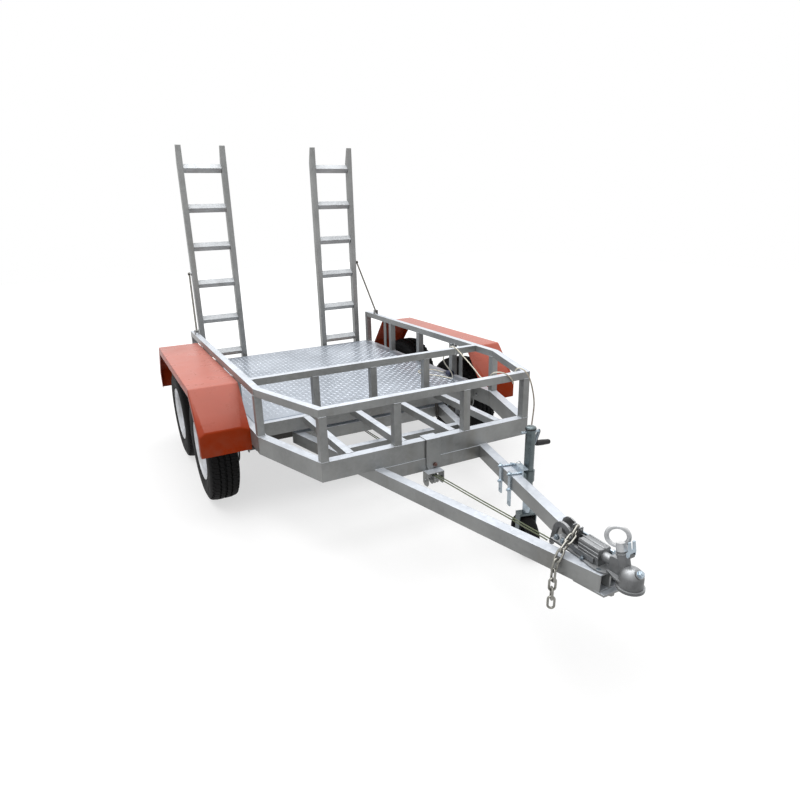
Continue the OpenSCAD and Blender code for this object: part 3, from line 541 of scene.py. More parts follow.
def nodes_of(slot):
    """Names of the CAD nodes of one material slot"""
    return [part["node"] for part in frame["record"]["subparts"] if part["material_slot"] == slot]


# Helpers for shapes

def smooth(made, degrees):
    """Smooth shading with the edges sharper than an angle kept hard"""
    mesh = made.data
    mesh.shade_smooth()
    mesh.set_sharp_from_angle(angle=math.radians(degrees))


def rider(name, data, material, body):
    """Puts a finished shape into the scene, to ride on a body"""
    data.materials.append(material)
    made = bpy.data.objects.new(name, data)
    bpy.context.scene.collection.objects.link(made)
    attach(made, body)
    return made


def piece(name, bm, material, body, recalc=True):
    """Turns a bmesh into a finished piece that rides on a body"""
    if recalc:
        bmesh.ops.recalc_face_normals(bm, faces=bm.faces)
    mesh = bpy.data.meshes.new(name)
    bm.to_mesh(mesh)
    bm.free()
    return rider(name, mesh, material, body)


def behind(x, y, z):
    """A place in millimetres, measured from the front beam's face, as a point in the frame's metres"""
    return Vector((x * MM, y * MM + FACE_Y, z * MM))


def only(geometry, kind):
    """The vertices, edges or faces among an operator's results"""
    return [part for part in geometry if isinstance(part, kind)]


def rod(bm, points, radius, segments=12):
    """Extrudes a circle along points. The radius is one number, or one for each point"""
    points = [Vector(point) for point in points]
    sizes = radius if hasattr(radius, "__len__") else [radius] * len(points)
    edges = before = turn = None
    for i, point in enumerate(points):
        ahead = (points[min(i + 1, len(points) - 1)] - points[max(i - 1, 0)]).normalized()
        turn = ahead.to_track_quat("Z", "Y") if turn is None else last.rotation_difference(ahead) @ turn
        last = ahead
        place = Matrix.LocRotScale(point, turn, Vector((sizes[i],) * 3))
        if edges is None:
            made = bmesh.ops.create_circle(bm, segments=segments, radius=1.0, cap_ends=False, matrix=place)
            edges = list(dict.fromkeys(e for v in made["verts"] for e in v.link_edges))
            first = edges
        else:
            grown = bmesh.ops.extrude_edge_only(bm, edges=edges)["geom"]
            verts = only(grown, bmesh.types.BMVert)
            fresh = set(verts)
            edges = [e for e in only(grown, bmesh.types.BMEdge) if fresh.issuperset(e.verts)]
            bmesh.ops.transform(bm, matrix=place @ before.inverted(), verts=verts)
        before = place
    for loop in (first, edges):
        bmesh.ops.edgeloop_fill(bm, edges=loop)


def turned(bm, outline, place=(0, 0, 0), axis=(0, 0, 1), segments=24, closed=False):
    """Spins an outline of (radius, height) round an axis"""
    made = [bm.verts.new((radius, 0.0, height)) for radius, height in outline]
    edges = [bm.edges.new(pair) for pair in zip(made, made[1:] + made[:1] if closed else made[1:])]
    bmesh.ops.spin(bm, geom=made + edges, cent=(0, 0, 0), axis=(0, 0, 1), angle=math.tau,
                   steps=segments, use_merge=True)
    whole = {v for e in edges for v in e.verts}
    reach = list(whole)
    while reach:
        near = reach.pop()
        for edge in near.link_edges:
            far = edge.other_vert(near)
            if far not in whole:
                whole.add(far)
                reach.append(far)
    verts = [v for v in bm.verts if v in whole]
    turn = Vector(axis).to_track_quat("Z", "Y").to_matrix().to_4x4()
    bmesh.ops.transform(bm, matrix=Matrix.Translation(Vector(place)) @ turn, verts=verts)
    bmesh.ops.remove_doubles(bm, verts=verts, dist=1e-6)


def fastener(bm, place, axis, size, stud=0.0):
    """A washer, a chamfered hexagon and a stud's end, in metres from the face they sit on"""
    place, axis = Vector(place), Vector(axis).normalized()
    washer = [(0, -0.0002), (size * 1.1, -0.0002), (size * 1.1, size * 0.15), (0, size * 0.15)]
    nut = [(0, size * 0.15), (size, size * 0.15), (size, size * 0.82), (size * 0.86, size * 0.95),
           (0, size * 0.95)]
    end = [(0, size * 0.9), (size * 0.52, size * 0.9), (size * 0.52, size + stud - 0.001),
           (size * 0.42, size + stud), (0, size + stud)]
    turned(bm, washer, place, axis, 20)
    turned(bm, nut, place, axis, 6)
    turned(bm, end, place, axis, 14)


def repeated_round(bm, verts, count):
    """Copies a shape round the Z axis, with its edges and faces"""
    geom = verts + list(dict.fromkeys(e for v in verts for e in v.link_edges))
    geom += list(dict.fromkeys(f for v in verts for f in v.link_faces))
    bmesh.ops.spin(bm, geom=geom, cent=(0, 0, 0), axis=(0, 0, 1), angle=math.tau * (count - 1) / count,
                   steps=count - 1, use_duplicate=True)


def thicken(bm, thickness):
    """Turns a sheet's faces so that its highest one looks up, and gives it a thickness"""
    bmesh.ops.recalc_face_normals(bm, faces=bm.faces)
    if max(bm.faces, key=lambda f: f.calc_center_median().z).normal.z < 0:
        bmesh.ops.reverse_faces(bm, faces=bm.faces)
    bmesh.ops.solidify(bm, geom=bm.faces[:], thickness=thickness)


def weld(bm, start, end, size=0.0026):
    """A bead along a seam, with the ripple that a welder's hand leaves"""
    ripple, thin, thick = 0.0045, 0.86, 1.12
    start, end = Vector(start), Vector(end)
    steps = max(3, int((end - start).length / ripple))
    points = [start.lerp(end, i / steps) for i in range(steps + 1)]
    rod(bm, points, [size * (thin if i % 2 else thick) for i in range(steps + 1)], 6)


def seams(bm, low, high):
    """Welds along the four sides of a rectangle that lies level"""
    x0, y0, z = low
    x1, y1, _ = high
    corners = [(x0, y0, z), (x1, y0, z), (x1, y1, z), (x0, y1, z)]
    for a, b in zip(corners, corners[1:] + corners[:1]):
        weld(bm, a, b)


def cord_curve(name, points, diameter, material, body):
    """A round cord as one open smooth spline"""
    data = bpy.data.curves.new(name, "CURVE")
    data.dimensions = "3D"
    data.bevel_depth = diameter / 2
    data.bevel_resolution = 3
    data.use_fill_caps = True
    data.resolution_u = 4
    spline = data.splines.new("BEZIER")
    spline.bezier_points.add(len(points) - 1)
    for knot, point in zip(spline.bezier_points, points):
        knot.co = point
        knot.handle_left_type = knot.handle_right_type = "AUTO"
    return rider(name, data, material, body)


def cable_route(x0, x1):
    """One brake cable from the brake arm over the guide pulley to the front axle, given how far across it
    starts and how far across it passes the pulley"""
    return [(x0, -870.9, 433), (x0, -850, 432.4), (x0 - 1, -760, 425), (x0 - 3, -640, 418),
            (x0 * 0.6 + x1 * 0.4, -520, 412), (x0 * 0.4 + x1 * 0.6, -380, 404),
            (x0 * 0.2 + x1 * 0.8, -220, 396), (x1, -90, 389.6), (x1, -60, 387.6), (x1, -35, 387),
            (x1, -10, 386.4), (x1, 60, 383), (x1 * 0.9, 300, 371), (x1 * 0.8, 600, 358),
            (x1 * 0.7, 860, 347), (x1 * 0.7, 1040, 340.4), (x1 * 0.7, 1084.9, 340)]


# Operators

class TrailerOperator:
    """What all the makers share: their options and the scene's settings"""
    bl_options = {"REGISTER", "UNDO"}

    @property
    def finish(self):
        return bpy.context.scene.trailer_finish

    @property
    def sizes(self):
        return bpy.context.scene.trailer_sizes

    @property
    def stage(self):
        return bpy.context.scene.trailer_stage


class TRAILER_OT_camera(TrailerOperator, bpy.types.Operator):
    """Place the camera where the trailer was photographed from"""
    bl_idname = "trailer.camera"
    bl_label = "Camera"

    def execute(self, context):
        heading, height, roll = (math.radians(angle) for angle in CAMERA_TURN)
        back = Vector((math.sin(heading) * math.cos(height), -math.cos(heading) * math.cos(height),
                       math.sin(height)))
        right = Vector((math.cos(heading), math.sin(heading), 0.0))
        up = back.cross(right)
        data = bpy.data.cameras.new("camera")
        data.sensor_width = SENSOR
        data.lens = FOCAL / PICTURE * SENSOR
        data.shift_x = (PICTURE / 2 - CENTRE[0]) / PICTURE
        data.shift_y = (CENTRE[1] - PICTURE / 2) / PICTURE
        camera = bpy.data.objects.new("camera", data)
        across = right * math.cos(roll) + up * math.sin(roll)
        above = up * math.cos(roll) - right * math.sin(roll)
        turn = Matrix((across, above, back)).transposed().to_4x4()
        eye = behind(*CAMERA_AIM) + back * CAMERA_DISTANCE
        camera.matrix_world = Matrix.Translation(eye) @ turn
        context.scene.collection.objects.link(camera)
        context.scene.camera = camera
        return {"FINISHED"}


class TRAILER_OT_finishes(TrailerOperator, bpy.types.Operator):
    """Give every part of the frame its finish"""
    bl_idname = "trailer.finishes"
    bl_label = "Finishes"

    def execute(self, context):
        look = self.finish
        dress(galvanised(look.zinc, look.zinc_painted_highlight), *nodes_of("galvanised"))
        # Painted light: the rungs take a copy of the frame's zinc made 1.9 times lighter, with a dimmer
        # painted highlight on their tops
        rungs = galvanised(shade(look.zinc, 1.9), shade(look.zinc_painted_highlight, 0.72), "rung steel", 0.1, 0.2)
        dress(rungs, "ramp_rungs_left", "ramp_rungs_right")
        dress(checker(look.deck), "deck_plate")
        dress(paint(look.paint), *nodes_of("orange_paint"))
        dress(rubber(look.rubber), *nodes_of("tyre"))
        dress(lacquer(look.rim), *nodes_of("silver_wheel"))
        dress(casting(look.casting), *nodes_of("cast_zinc"))
        dress(casting(shade(look.casting, 3.0)), "ring_handle")
        dress(bright_zinc(look.plating), *nodes_of("bright_zinc"))
        dress(bright_zinc(look.passivated, "passivated tube"), "jockey_tube", "jockey_fork")
        dress(bright_zinc(look.chain, "worn chain plate"), "safety_chain")
        dress(bright_zinc(look.stay, "worn stay rod"), "stay_left", "stay_right")
        dress(lamp_lenses(), *nodes_of("lamp"))
        dress(black_steel(), *nodes_of("black_steel"))
        dress(plastic("cable jacket", look.jacket), *nodes_of("cable"))
        dress(plastic("lead sheath", look.sheath), *nodes_of("lead"))
        dress(plastic("plug moulding", (0.02, 0.025, 0.06)), *nodes_of("plug"))
        dress(crank_finish(look.plating), *nodes_of("grip"))
        return {"FINISHED"}


class TRAILER_OT_lead(TrailerOperator, bpy.types.Operator):
    """Lay the wiring lead over the railings, with the sleeve at its gland and the boot of its plug"""
    bl_idname = "trailer.lead"
    bl_label = "Wiring lead"

    def execute(self, context):
        points = [behind(*point) for point in LEAD_ROUTE]
        sheath = soiled_sheath(self.finish.sheath)
        black = plastic("black fittings", (0.02, 0.02, 0.022), 0.4, 0.6)
        lead = cord_curve("lead", points, LEAD_DIAMETER, sheath, "frame")
        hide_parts("wiring_lead")
        x, y, _ = LEAD_ROUTE[0]
        bm = bmesh.new()
        rod(bm, [behind(x, y, z) for z in (390, 384, 378, 370, 362)],
            radius=[0.0075, 0.0072, 0.0062, 0.0052, 0.0041], segments=16)
        sleeve = piece("lead_sleeve", bm, black, "frame")
        end, back = behind(*PLUG_END), Vector(PLUG_AXIS) * MM
        bm = bmesh.new()
        rod(bm, [end + back * step for step in (-2, 6, 14, 22, 30)],
            radius=[0.0066, 0.0064, 0.0056, 0.0048, 0.0041], segments=16)
        boot = piece("plug_boot", bm, black, "frame")
        return {"FINISHED"}


class TRAILER_OT_cables(TrailerOperator, bpy.types.Operator):
    """Run the twin brake cables from the brake arm to the front axle"""
    bl_idname = "trailer.cables"
    bl_label = "Brake cables"

    def execute(self, context):
        jacket = plastic("cable jacket", self.finish.jacket, 0.35, 0.5)
        for name, at_arm, at_pulley in (("brake_cable_left", -8, -30), ("brake_cable_right", 8, -12)):
            points = [behind(*point) for point in cable_route(at_arm, at_pulley)]
            cable = cord_curve(name, points, CABLE_DIAMETER, jacket, "frame")
            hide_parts("brake_cables")
        return {"FINISHED"}


class TRAILER_OT_tyres(TrailerOperator, bpy.types.Operator):
    """Mould the road tyres with their tread blocks and sidewall rings"""
    bl_idname = "trailer.tyres"
    bl_label = "Tyres"

    def execute(self, context):
        material = rubber(self.finish.rubber)
        for name in ("left", "right"):
            for end in ("front", "rear"):
                node = f"tyre_{end}_{name}"
                low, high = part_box(node)
                middle = (Vector(low) + Vector(high)) / 2
                bm = bmesh.new()
                self.carcass(bm)
                self.tread(bm)
                turn = Matrix.Rotation(math.pi / 2, 4, "Y")
                bmesh.ops.transform(bm, matrix=Matrix.Translation(middle) @ turn, verts=bm.verts)
                tyre = piece(node + "_moulded", bm, material, f"wheel_{end}_{name}_body")
                smooth(tyre, 40)
                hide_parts(node)
        return {"FINISHED"}

    def carcass(self, bm):
        """Bead, sidewall with its rings, shoulder and grooved crown, from the rim up to the middle"""
        half = [(186, 78), (200, 82.5), (206, 86), (212, 86), (216, 87.6), (224, 88.4), (236, 90.4),
                (250, 90.6), (262, 90.6), (265, 88.8), (269, 88.8), (272, 90.4), (284, 89.4), (296, 85.6),
                (305, 80), (311, 74), (315, 66), (316, 50), (316, 36), (312, 35), (312, 30), (316, 29),
                (316.5, 6), (312, 5)]
        inside = [(180, 70), (180, -70)]
        outline = [(r, -x) for r, x in half] + [(r, x) for r, x in reversed(half)] + inside
        turned(bm, [(r * MM, x * MM) for r, x in outline], segments=96, closed=True)

    def tread(self, bm):
        """Four rows of blocks, each in two staggered sets, and a row of lugs on each shoulder"""
        pitch, gap, stagger = math.tau / TREAD_BLOCKS, 2.2, 1.6
        length = TREAD_TOP * pitch / 2 - gap
        # Left edge and width of each row, and its radius on the left and on the right
        rows = ((-68, 30, TREAD_SHOULDER, TREAD_TOP), (-29, 22, TREAD_TOP, TREAD_TOP),
                (7, 22, TREAD_TOP, TREAD_TOP), (38, 30, TREAD_TOP, TREAD_SHOULDER))
        for edge, width, top_in, top_out in rows:
            for phase, shift in ((0.0, stagger), (0.5, -stagger)):
                verts = bmesh.ops.create_cube(bm, size=1.0)["verts"]
                for v in verts:
                    right = v.co.x > 0
                    r = (top_out if right else top_in) if v.co.z > 0 else TREAD_FLOOR
                    skew = TREAD_SKEW if right else -TREAD_SKEW
                    v.co = Vector((r, v.co.y * length + skew, edge + width * right + shift)) * MM
                turn = Matrix.Rotation(phase * pitch, 3, "Z")
                bmesh.ops.rotate(bm, verts=verts, cent=(0, 0, 0), matrix=turn)
                repeated_round(bm, verts, TREAD_BLOCKS)
        inner, outer, slope, width = 298, 318, 6, 7
        for side in (-1, 1):
            verts = bmesh.ops.create_cube(bm, size=1.0)["verts"]
            for v in verts:
                out = v.co.z > 0
                r = (outer if v.co.x > 0 else inner) - slope * out
                v.co = Vector((r, v.co.y * width, side * (80 if out else 72))) * MM
            repeated_round(bm, verts, TREAD_BLOCKS)


class TRAILER_OT_mudguards(TrailerOperator, bpy.types.Operator):
    """Fold the mudguards from sheet, with rounded folds and a lip along the outside"""
    bl_idname = "trailer.mudguards"
    bl_label = "Mudguards"

    def execute(self, context):
        material = paint(self.finish.paint)
        sheet, lip = self.stations(GUARD_FOLDS), self.stations(GUARD_LIP)
        for side, name in ((-1, "left"), (1, "right")):
            bm = bmesh.new()
            rows = []
            for on_sheet, on_lip in zip(sheet, lip):
                line = self.across(on_sheet, on_lip)
                rows.append([bm.verts.new(behind(side * x, y, z)) for x, y, z in line])
            for row, after in zip(rows, rows[1:]):
                for corners in zip(row, row[1:], after[1:], after):
                    bm.faces.new(corners)
            thicken(bm, GUARD_SHEET)
            guard = piece(f"guard_{name}", bm, material, "frame")
            smooth(guard, 35)
            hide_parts(f"mudguard_{name}")
        return {"FINISHED"}

    def stations(self, folds):
        """Points along a profile with rounded folds: y, z and how far down the bent corner each one is"""
        made = [(*folds[0], 0.0)]
        for i in range(1, len(folds) - 1):
            before, fold, after = (Vector(folds[i + k]) for k in (-1, 0, 1))
            start = fold + (before - fold).normalized() * FOLD_ROUND
            end = fold + (after - fold).normalized() * FOLD_ROUND
            for step in range(5):
                t = step / 4
                at = start.lerp(fold, t).lerp(fold.lerp(end, t), t)
                made.append((*at, 1.0 if i in BENT_FOLDS else 0.0))
        return made + [(*folds[-1], 0.0)]

    def across(self, sheet, lip):
        """Points from the inner edge to the outer one and round it to the lip's edge"""
        y, z, low = sheet
        points = []
        for (width, drop), edge, turn in zip(CORNERS, (GUARD_INNER, GUARD_OUTER - EDGE_ROUND), (1, -1)):
            reach = 2 + (width - 2) * low
            steps = [(0.0, 1.0), (0.9, 0.1), (1.0, 0.02), (1.1, 0.0)][::turn]
            points += [(edge + turn * reach * along, y, z - drop * low * sink) for along, sink in steps]
        _, _, corner = points[-1]
        over = Vector((lip[0] - y, lip[1] - z)).normalized()
        points.append((GUARD_OUTER - EDGE_START, y + over.x * EDGE_START, corner + over.y * EDGE_START))
        points.append((GUARD_OUTER, y + over.x * EDGE_ROUND, corner + over.y * EDGE_ROUND))
        points.append((GUARD_OUTER, lip[0], lip[1]))
        return points


class TRAILER_OT_welds(TrailerOperator, bpy.types.Operator):
    """Run the weld beads round posts, rungs, joists and drawbar"""
    bl_idname = "trailer.welds"
    bl_label = "Weld beads"

    def execute(self, context):
        zinc = frame["nodes"]["front_beam"].data.materials[0]
        bm = bmesh.new()
        self.posts(bm)
        piece("post_welds", bm, zinc, "frame")
        bm = bmesh.new()
        self.joists(bm)
        self.drawbar_and_mitres(bm)
        piece("frame_welds", bm, zinc, "frame")
        for side, name in ((-1, "left"), (1, "right")):
            bm = bmesh.new()
            self.rungs(bm, side)
            piece(f"rung_welds_{name}", bm, zinc, f"ramp_{name}")
        return {"FINISHED"}

    def posts(self, bm):
        """Round the foot and the head of every post"""
        places = [(x, y) for x in (-SIDE_POST_X, SIDE_POST_X) for y in SIDE_POSTS]
        places += [(x, FRONT_POST_Y) for x in FRONT_POSTS] + [(x, MIDDLE_POST_Y) for x in MIDDLE_POSTS]
        for x, y in places:
            for z in (BEAM_TOP, RAIL_UNDER):
                seams(bm, behind(x - HALF_TUBE, y - HALF_TUBE, z), behind(x + HALF_TUBE, y + HALF_TUBE, z))

    def joists(self, bm):
        """Up both sides and along the top of the joists' ends"""
        for x in JOISTS:
            for y in JOIST_ENDS:
                for edge in (x - HALF_TUBE, x + HALF_TUBE):
                    weld(bm, behind(edge, y, JOIST_UNDER), behind(edge, y, BEAM_TOP))
                weld(bm, behind(x - HALF_TUBE, y, BEAM_TOP), behind(x + HALF_TUBE, y, BEAM_TOP))

    def drawbar_and_mitres(self, bm):
        """Where the drawbar rails pass under the front beam, and up the outside of the rails' mitres"""
        low, high = RAIL_UNDER + 0.2, RAIL_TOP - 0.2
        thick, thin = 0.0034, 0.0018
        for side in (-1, 1):
            for y, (inner, outer) in ((0, RAIL_AT_FACE), (BEAM_THICK, RAIL_AT_BACK)):
                weld(bm, behind(side * outer, y, BEAM_UNDER), behind(side * inner, y, BEAM_UNDER), thick)
            for x, y in RAIL_MITRES:
                weld(bm, behind(side * x, y, low), behind(side * x, y, high), thin)

    def rungs(self, bm, side):
        """Along both legs of each rung's angle at the stiles"""
        thin = 0.0022
        for rung in range(RUNGS):
            z = TOP_RUNG - rung * RUNG_GAP
            for x in RUNG_ENDS:
                for reach in (RUNG_REACH, -RUNG_REACH):
                    weld(bm, behind(side * x, RUNG_RIDGE, z), behind(side * x, RUNG_EDGE, z + reach), thin)


class TRAILER_OT_fixings(TrailerOperator, bpy.types.Operator):
    """Fasten the coupling, the springs, the pulley hanger and the lead, and hang up the clips"""
    bl_idname = "trailer.fixings"
    bl_label = "Bolts and clips"

    def execute(self, context):
        plated = bright_zinc(self.finish.plating, "bolt plating")
        dull = bright_zinc(shade(self.finish.plating, 0.45), "dull bolt plating")
        self.coupling_bolts(dull)
        self.shaft_cover()
        self.spring_clips(plated)
        self.wire_clips(plated)
        self.bay_clip()
        self.cup_and_hanger_bolts(plated)
        self.tube_band()
        self.lead_tie()
        return {"FINISHED"}

    def coupling_bolts(self, material):
        """Two nuts and two flush heads on the coupling's foot, and two bolts on its left side"""
        foot_top, nuts_y, heads_y, spread = 478, -1082, -1160, 36
        left, left_z = -33, 497
        head = [(0, -0.0002), (0.0088, -0.0002), (0.0088, 0.0002), (0.0072, 0.0007), (0.0034, 0.0007),
                (0.0030, 0.0002), (0, 0.0002)]
        bm = bmesh.new()
        for x in (-spread, spread):
            fastener(bm, behind(x, nuts_y, foot_top), (0, 0, 1), size=0.0085, stud=0.003)
            turned(bm, head, behind(x, heads_y, foot_top), (0, 0, 1), 20)
        for y in (-985, -950):
            fastener(bm, behind(left, y, left_z), (-1, 0, 0), size=0.011, stud=0.004)
        piece("coupling_bolts", bm, material, "frame")

    def shaft_cover(self):
        """A bent sheet over the coupling's shaft, with three ribs on its top and two on its left side"""
        front, back, foot, top, half = -1147.6, -1050.4, 496, 540.2, 27.2
        outline = [(-half, foot), (-half, top), (half, top), (half, foot)]
        ribs = ((-24, 542, 0.0036), (24, 542, 0.0036), (0, 541.5, 0.0048), (-28.6, 526, 0.0028),
                (-28.6, 511, 0.0028))
        bm = bmesh.new()
        rows = [[bm.verts.new(behind(x, y, z)) for x, z in outline] for y in (front, back)]
        for k in range(len(outline) - 1):
            bm.faces.new((rows[0][k], rows[0][k + 1], rows[1][k + 1], rows[1][k]))
        folds = [e for e in bm.edges if len(e.link_faces) == 2]
        bmesh.ops.bevel(bm, geom=folds, offset=0.002, affect="EDGES", segments=3, profile=0.5, material=-1)
        thicken(bm, -0.0018)
        for x, z, size in ribs:
            ends = [behind(x, y, z) for y in (front + 0.6, front + 3.6, back - 3.6, back - 0.6)]
            rod(bm, ends, [size * 0.7, size, size, size * 0.7], 12)
        cover = piece("shaft_cover", bm, casting(shade(self.finish.casting, 0.8)), "frame")
        smooth(cover, 35)

    def spring_clips(self, material):
        """Two U-bolts over every axle at its leaf spring, with the plate that they hold below"""
        leg_x, step, wire = 24, 31, 0.005
        foot, nut, plate, plate_size = 288, 294, 297, (0.064, 0.084, 0.006)
        bend = ((leg_x, foot), (leg_x, 384), (20, 391), (0, 392))
        half = [(-x, z) for x, z in bend]
        arch = half + [(-x, z) for x, z in reversed(half[:-1])]
        bm = bmesh.new()
        for middle in (-SPRING_X, SPRING_X):
            for axle in AXLES:
                for y in (axle - step, axle + step):
                    rod(bm, [behind(middle + x, y, z) for x, z in arch], wire, 10)
                    for leg in (-leg_x, leg_x):
                        fastener(bm, behind(middle + leg, y, nut), (0, 0, -1), size=0.0075)
                verts = bmesh.ops.create_cube(bm, size=1.0)["verts"]
                bmesh.ops.scale(bm, verts=verts, vec=plate_size)
                bmesh.ops.translate(bm, verts=verts, vec=behind(middle, axle, plate))
        piece("spring_clips", bm, material, "frame")

    def wire_clips(self, material):
        """Two open wire clips on the right of the coupling's shaft"""
        loop = [(0, -14, 6), (0, -6, 9), (3, 6, 9), (5, 16, 5), (4, 22, -2), (0, 20, -9), (-3, 12, -12),
                (-3, 0, -10), (-2, -12, -8)]
        bm = bmesh.new()
        for x, y, z in ((25, -1072, 526), (25, -1119, 506)):
            rod(bm, [behind(x + a, y + b, z + c) for a, b, c in loop], radius=0.0016, segments=8)
        piece("wire_clips", bm, material, "frame")

    def bay_clip(self):
        """Two bent legs that hang side by side at the back of the bay"""
        middle = 448
        leg = ((3, 695, 493), (7, 690, 476), (9, 688, 455), (6, 687, 430), (3, 687, 408), (5, 687, 395))
        bm = bmesh.new()
        for side in (-1, 1):
            rod(bm, [behind(middle + side * x, y, z) for x, y, z in leg],
                radius=[0.004, 0.0055, 0.006, 0.0055, 0.004, 0.0025], segments=10)
        piece("bay_clip", bm, black_steel(), "frame")

    def cup_and_hanger_bolts(self, material):
        """The bolt in the front of the ball cup, and the rusted one of the pulley's hanger"""
        bm = bmesh.new()
        fastener(bm, behind(0, -1299.3, 527.3), (0, -1, 1), size=0.0118, stud=0.0022)
        piece("cup_bolt", bm, material, "head")
        bm = bmesh.new()
        fastener(bm, behind(0, -12.8, 428), (0, -1, 0), size=0.0108, stud=0.003)
        piece("hanger_bolt", bm, bright_zinc((0.13, 0.075, 0.065), "rusted bolt"), "frame")

    def tube_band(self):
        """A rubber band round the jockey tube near its cap"""
        outline = [(0.0243, -0.0044), (0.0268, -0.0040), (0.0272, 0.0), (0.0268, 0.0032), (0.0243, 0.0034)]
        bm = bmesh.new()
        turned(bm, outline, behind(*JOCKEY_AXIS, 685), segments=40, closed=True)
        black = plastic("band rubber", (0.008, 0.008, 0.009), 0.6, 0.8)
        band = piece("tube_band", bm, black, "jockey_outer")
        smooth(band, 30)

    def lead_tie(self):
        """The tie that holds the lead to the middle rail, with its end standing up"""
        x = 589
        loop = ((700, 851), (688, 846), (687, 820), (687, 797), (700, 796), (720, 796), (733, 797),
                (733, 820), (733, 840), (724, 850), (708, 852), (702, 853), (698, 862), (697, 874))
        bm = bmesh.new()
        rod(bm, [behind(x, y, z) for y, z in loop], radius=0.0013, segments=8)
        piece("lead_tie", bm, plastic("tie", (0.75, 0.75, 0.73)), "frame")


class TRAILER_OT_lozenges(TrailerOperator, bpy.types.Operator):
    """Raise the lozenges of the deck's checker plate"""
    bl_idname = "trailer.lozenges"
    bl_label = "Checker plate lozenges"

    def execute(self, context):
        size = self.sizes
        pitch, length, height = size.lozenge_pitch, size.lozenge_length, size.lozenge_height
        margin, slimness, sink = 0.03, 0.3, 0.00002
        low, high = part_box("deck_plate")
        columns, rows = (int((high[i] - low[i] - margin) / pitch / 2) * 2 for i in (0, 1))
        start = Vector(((low[0] + high[0] - (columns - 1) * pitch) / 2,
                        (low[1] + high[1] - (rows - 1) * pitch) / 2, high[2] + height / 2 - sink))
        bm = bmesh.new()
        for column, row in ((0, 0), (1, 0), (0, 1), (1, 1)):
            made = bmesh.ops.create_cone(bm, cap_ends=True, segments=4, radius1=0.5, radius2=0.32, depth=1.0)
            verts = made["verts"]
            bmesh.ops.scale(bm, verts=verts, vec=(length, length * slimness, height))
            turn = Matrix.Rotation(math.radians(45 if (column + row) % 2 else -45), 3, "Z")
            bmesh.ops.rotate(bm, verts=verts, cent=(0, 0, 0), matrix=turn)
            bmesh.ops.translate(bm, verts=verts, vec=start + Vector((column * pitch, row * pitch, 0)))
        for step, count in (((2 * pitch, 0, 0), columns // 2), ((0, 2 * pitch, 0), rows // 2)):
            bmesh.ops.spin(bm, geom=bm.verts[:] + bm.edges[:] + bm.faces[:], cent=(0, 0, 0), axis=(0, 0, 1),
                           dvec=Vector(step), angle=0.0, steps=count - 1, use_duplicate=True)
        piece("lozenges", bm, rubbed(self.finish.lozenge), "frame", recalc=False)
        return {"FINISHED"}


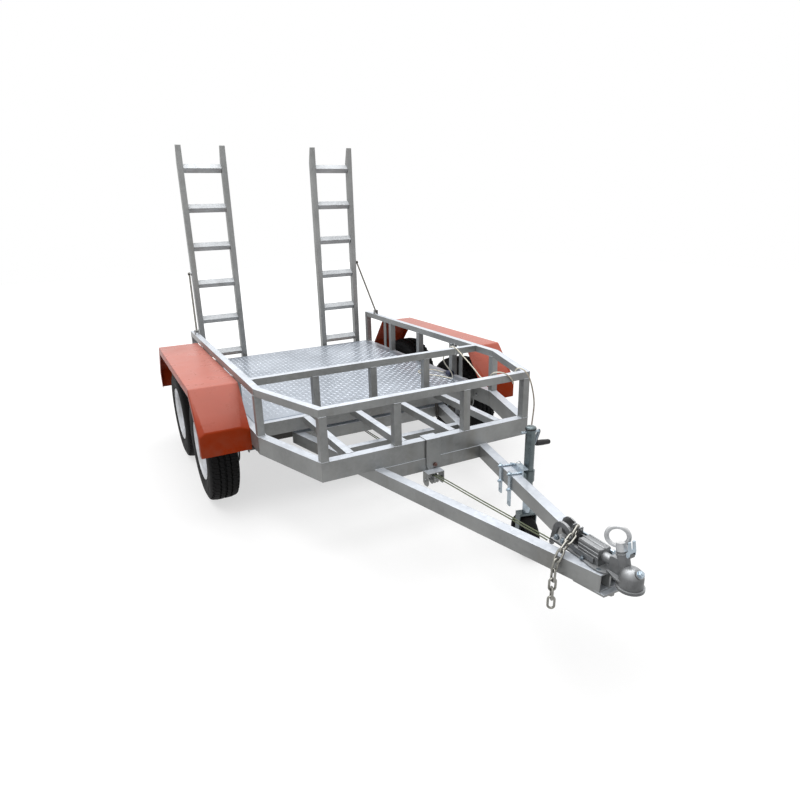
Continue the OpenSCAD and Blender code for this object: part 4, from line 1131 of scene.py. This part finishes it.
class TRAILER_OT_stage(TrailerOperator, bpy.types.Operator):
    """Lay the floor and set the soft studio light"""
    bl_idname = "trailer.stage"
    bl_label = "Studio stage"

    def execute(self, context):
        context.scene.view_settings.view_transform = "Standard"
        self.floor(context.scene)
        self.room(context.scene)
        self.lamp("key lamp", self.stage.key, 6.0, (-0.6, 0.2, 5.2), (0.0, 0.2, 0.4))
        self.lamp("fill lamp", self.stage.fill, 3.0, (-3.6, -4.0, 2.6), (0.0, 0.0, 0.5))
        return {"FINISHED"}

    def floor(self, scene):
        """A wide floor that shows the soft shadow near the trailer and goes white further off"""
        half, centre_y, drop = 14.0, 3.0, 0.0005
        bm = bmesh.new()
        bmesh.ops.create_grid(bm, x_segments=1, y_segments=1, size=half)
        bmesh.ops.translate(bm, verts=bm.verts, vec=(0, centre_y, -drop))
        mesh = bpy.data.meshes.new("floor")
        bm.to_mesh(mesh)
        bm.free()
        floor = bpy.data.objects.new("floor", mesh)
        scene.collection.objects.link(floor)
        mesh.materials.append(self.floor_finish(self.stage.floor))

    def floor_finish(self, rgb):
        """Grey to the light, and glowing to the eye, the more so the further from the trailer"""
        f = Finish("studio floor")
        f.base(f.mix(f.levels(f.noise(1.5, 2.0), 0.3, 0.7), shade(rgb, 0.98), rgb))
        f.rough(0.9)
        away = f.node("VectorMath", operation="LENGTH")
        f.link(f.place, away.inputs[0])
        glow = f.levels(away.outputs["Value"], 2.0, 6.5, 0.62, 1.0)
        lit = f.node("Emission")
        f.link(f.sums("MULTIPLY", seeing_rays(f.tree), glow), lit.inputs["Strength"])
        both = f.node("AddShader")
        f.link(f.shader.outputs[0], both.inputs[0])
        f.link(lit.outputs[0], both.inputs[1])
        f.link(both.outputs[0], f.tree.nodes["Material Output"].inputs["Surface"])
        return f.material

    def room(self, scene):
        """White all round to the eye, and an even light of the wanted strength on the trailer"""
        world = bpy.data.worlds.new("studio")
        scene.world = world
        world.use_nodes = True
        tree = world.node_tree
        strength = tree.nodes.new("ShaderNodeMapRange")
        strength.inputs["To Min"].default_value = self.stage.sky
        strength.inputs["To Max"].default_value = 1.0
        tree.links.new(seeing_rays(tree), strength.inputs["Value"])
        tree.links.new(strength.outputs["Result"], tree.nodes["Background"].inputs["Strength"])
        tree.nodes["Background"].inputs["Color"].default_value = (1.0, 1.0, 1.0, 1.0)

    def lamp(self, name, power, size, place, aim):
        """A square lamp that looks at a point"""
        data = bpy.data.lights.new(name, "AREA")
        data.energy = power
        data.size = size
        lamp = bpy.data.objects.new(name, data)
        bpy.context.scene.collection.objects.link(lamp)
        lamp.location = place
        lamp.rotation_euler = (Vector(aim) - Vector(place)).to_track_quat("-Z", "Y").to_euler()


class TRAILER_PT_panel(bpy.types.Panel):
    """Lists the trailer's makers and settings"""
    bl_idname = "TRAILER_PT_panel"
    bl_label = "Plant Trailer"
    bl_space_type = "VIEW_3D"
    bl_region_type = "UI"
    bl_category = "Trailer"

    def draw(self, context):
        column = self.layout.column()
        for maker in MAKERS:
            column.operator(maker.bl_idname)
        for name, _ in GROUPS:
            settings = getattr(context.scene, name)
            for key in settings.__annotations__:
                column.prop(settings, key)


MAKERS = (TRAILER_OT_camera, TRAILER_OT_lead, TRAILER_OT_cables, TRAILER_OT_finishes, TRAILER_OT_tyres,
          TRAILER_OT_mudguards, TRAILER_OT_welds, TRAILER_OT_fixings, TRAILER_OT_lozenges, TRAILER_OT_stage)
GROUPS = (("trailer_finish", TRAILER_PG_finish), ("trailer_sizes", TRAILER_PG_sizes),
          ("trailer_stage", TRAILER_PG_stage))


def register():
    for name, group in GROUPS:
        bpy.utils.register_class(group)
        setattr(bpy.types.Scene, name, PointerProperty(type=group))
    for maker in MAKERS:
        bpy.utils.register_class(maker)
    bpy.utils.register_class(TRAILER_PT_panel)


def unregister():
    bpy.utils.unregister_class(TRAILER_PT_panel)
    for maker in reversed(MAKERS):
        bpy.utils.unregister_class(maker)
    for name, group in reversed(GROUPS):
        delattr(bpy.types.Scene, name)
        bpy.utils.unregister_class(group)


def main():
    register()
    bpy.ops.trailer.camera()
    bpy.ops.trailer.lead()
    bpy.ops.trailer.cables()
    bpy.ops.trailer.finishes()
    bpy.ops.trailer.tyres()
    bpy.ops.trailer.mudguards()
    bpy.ops.trailer.welds()
    bpy.ops.trailer.fixings()
    bpy.ops.trailer.lozenges()
    bpy.ops.trailer.stage()


if __name__ == "__main__":
    main()
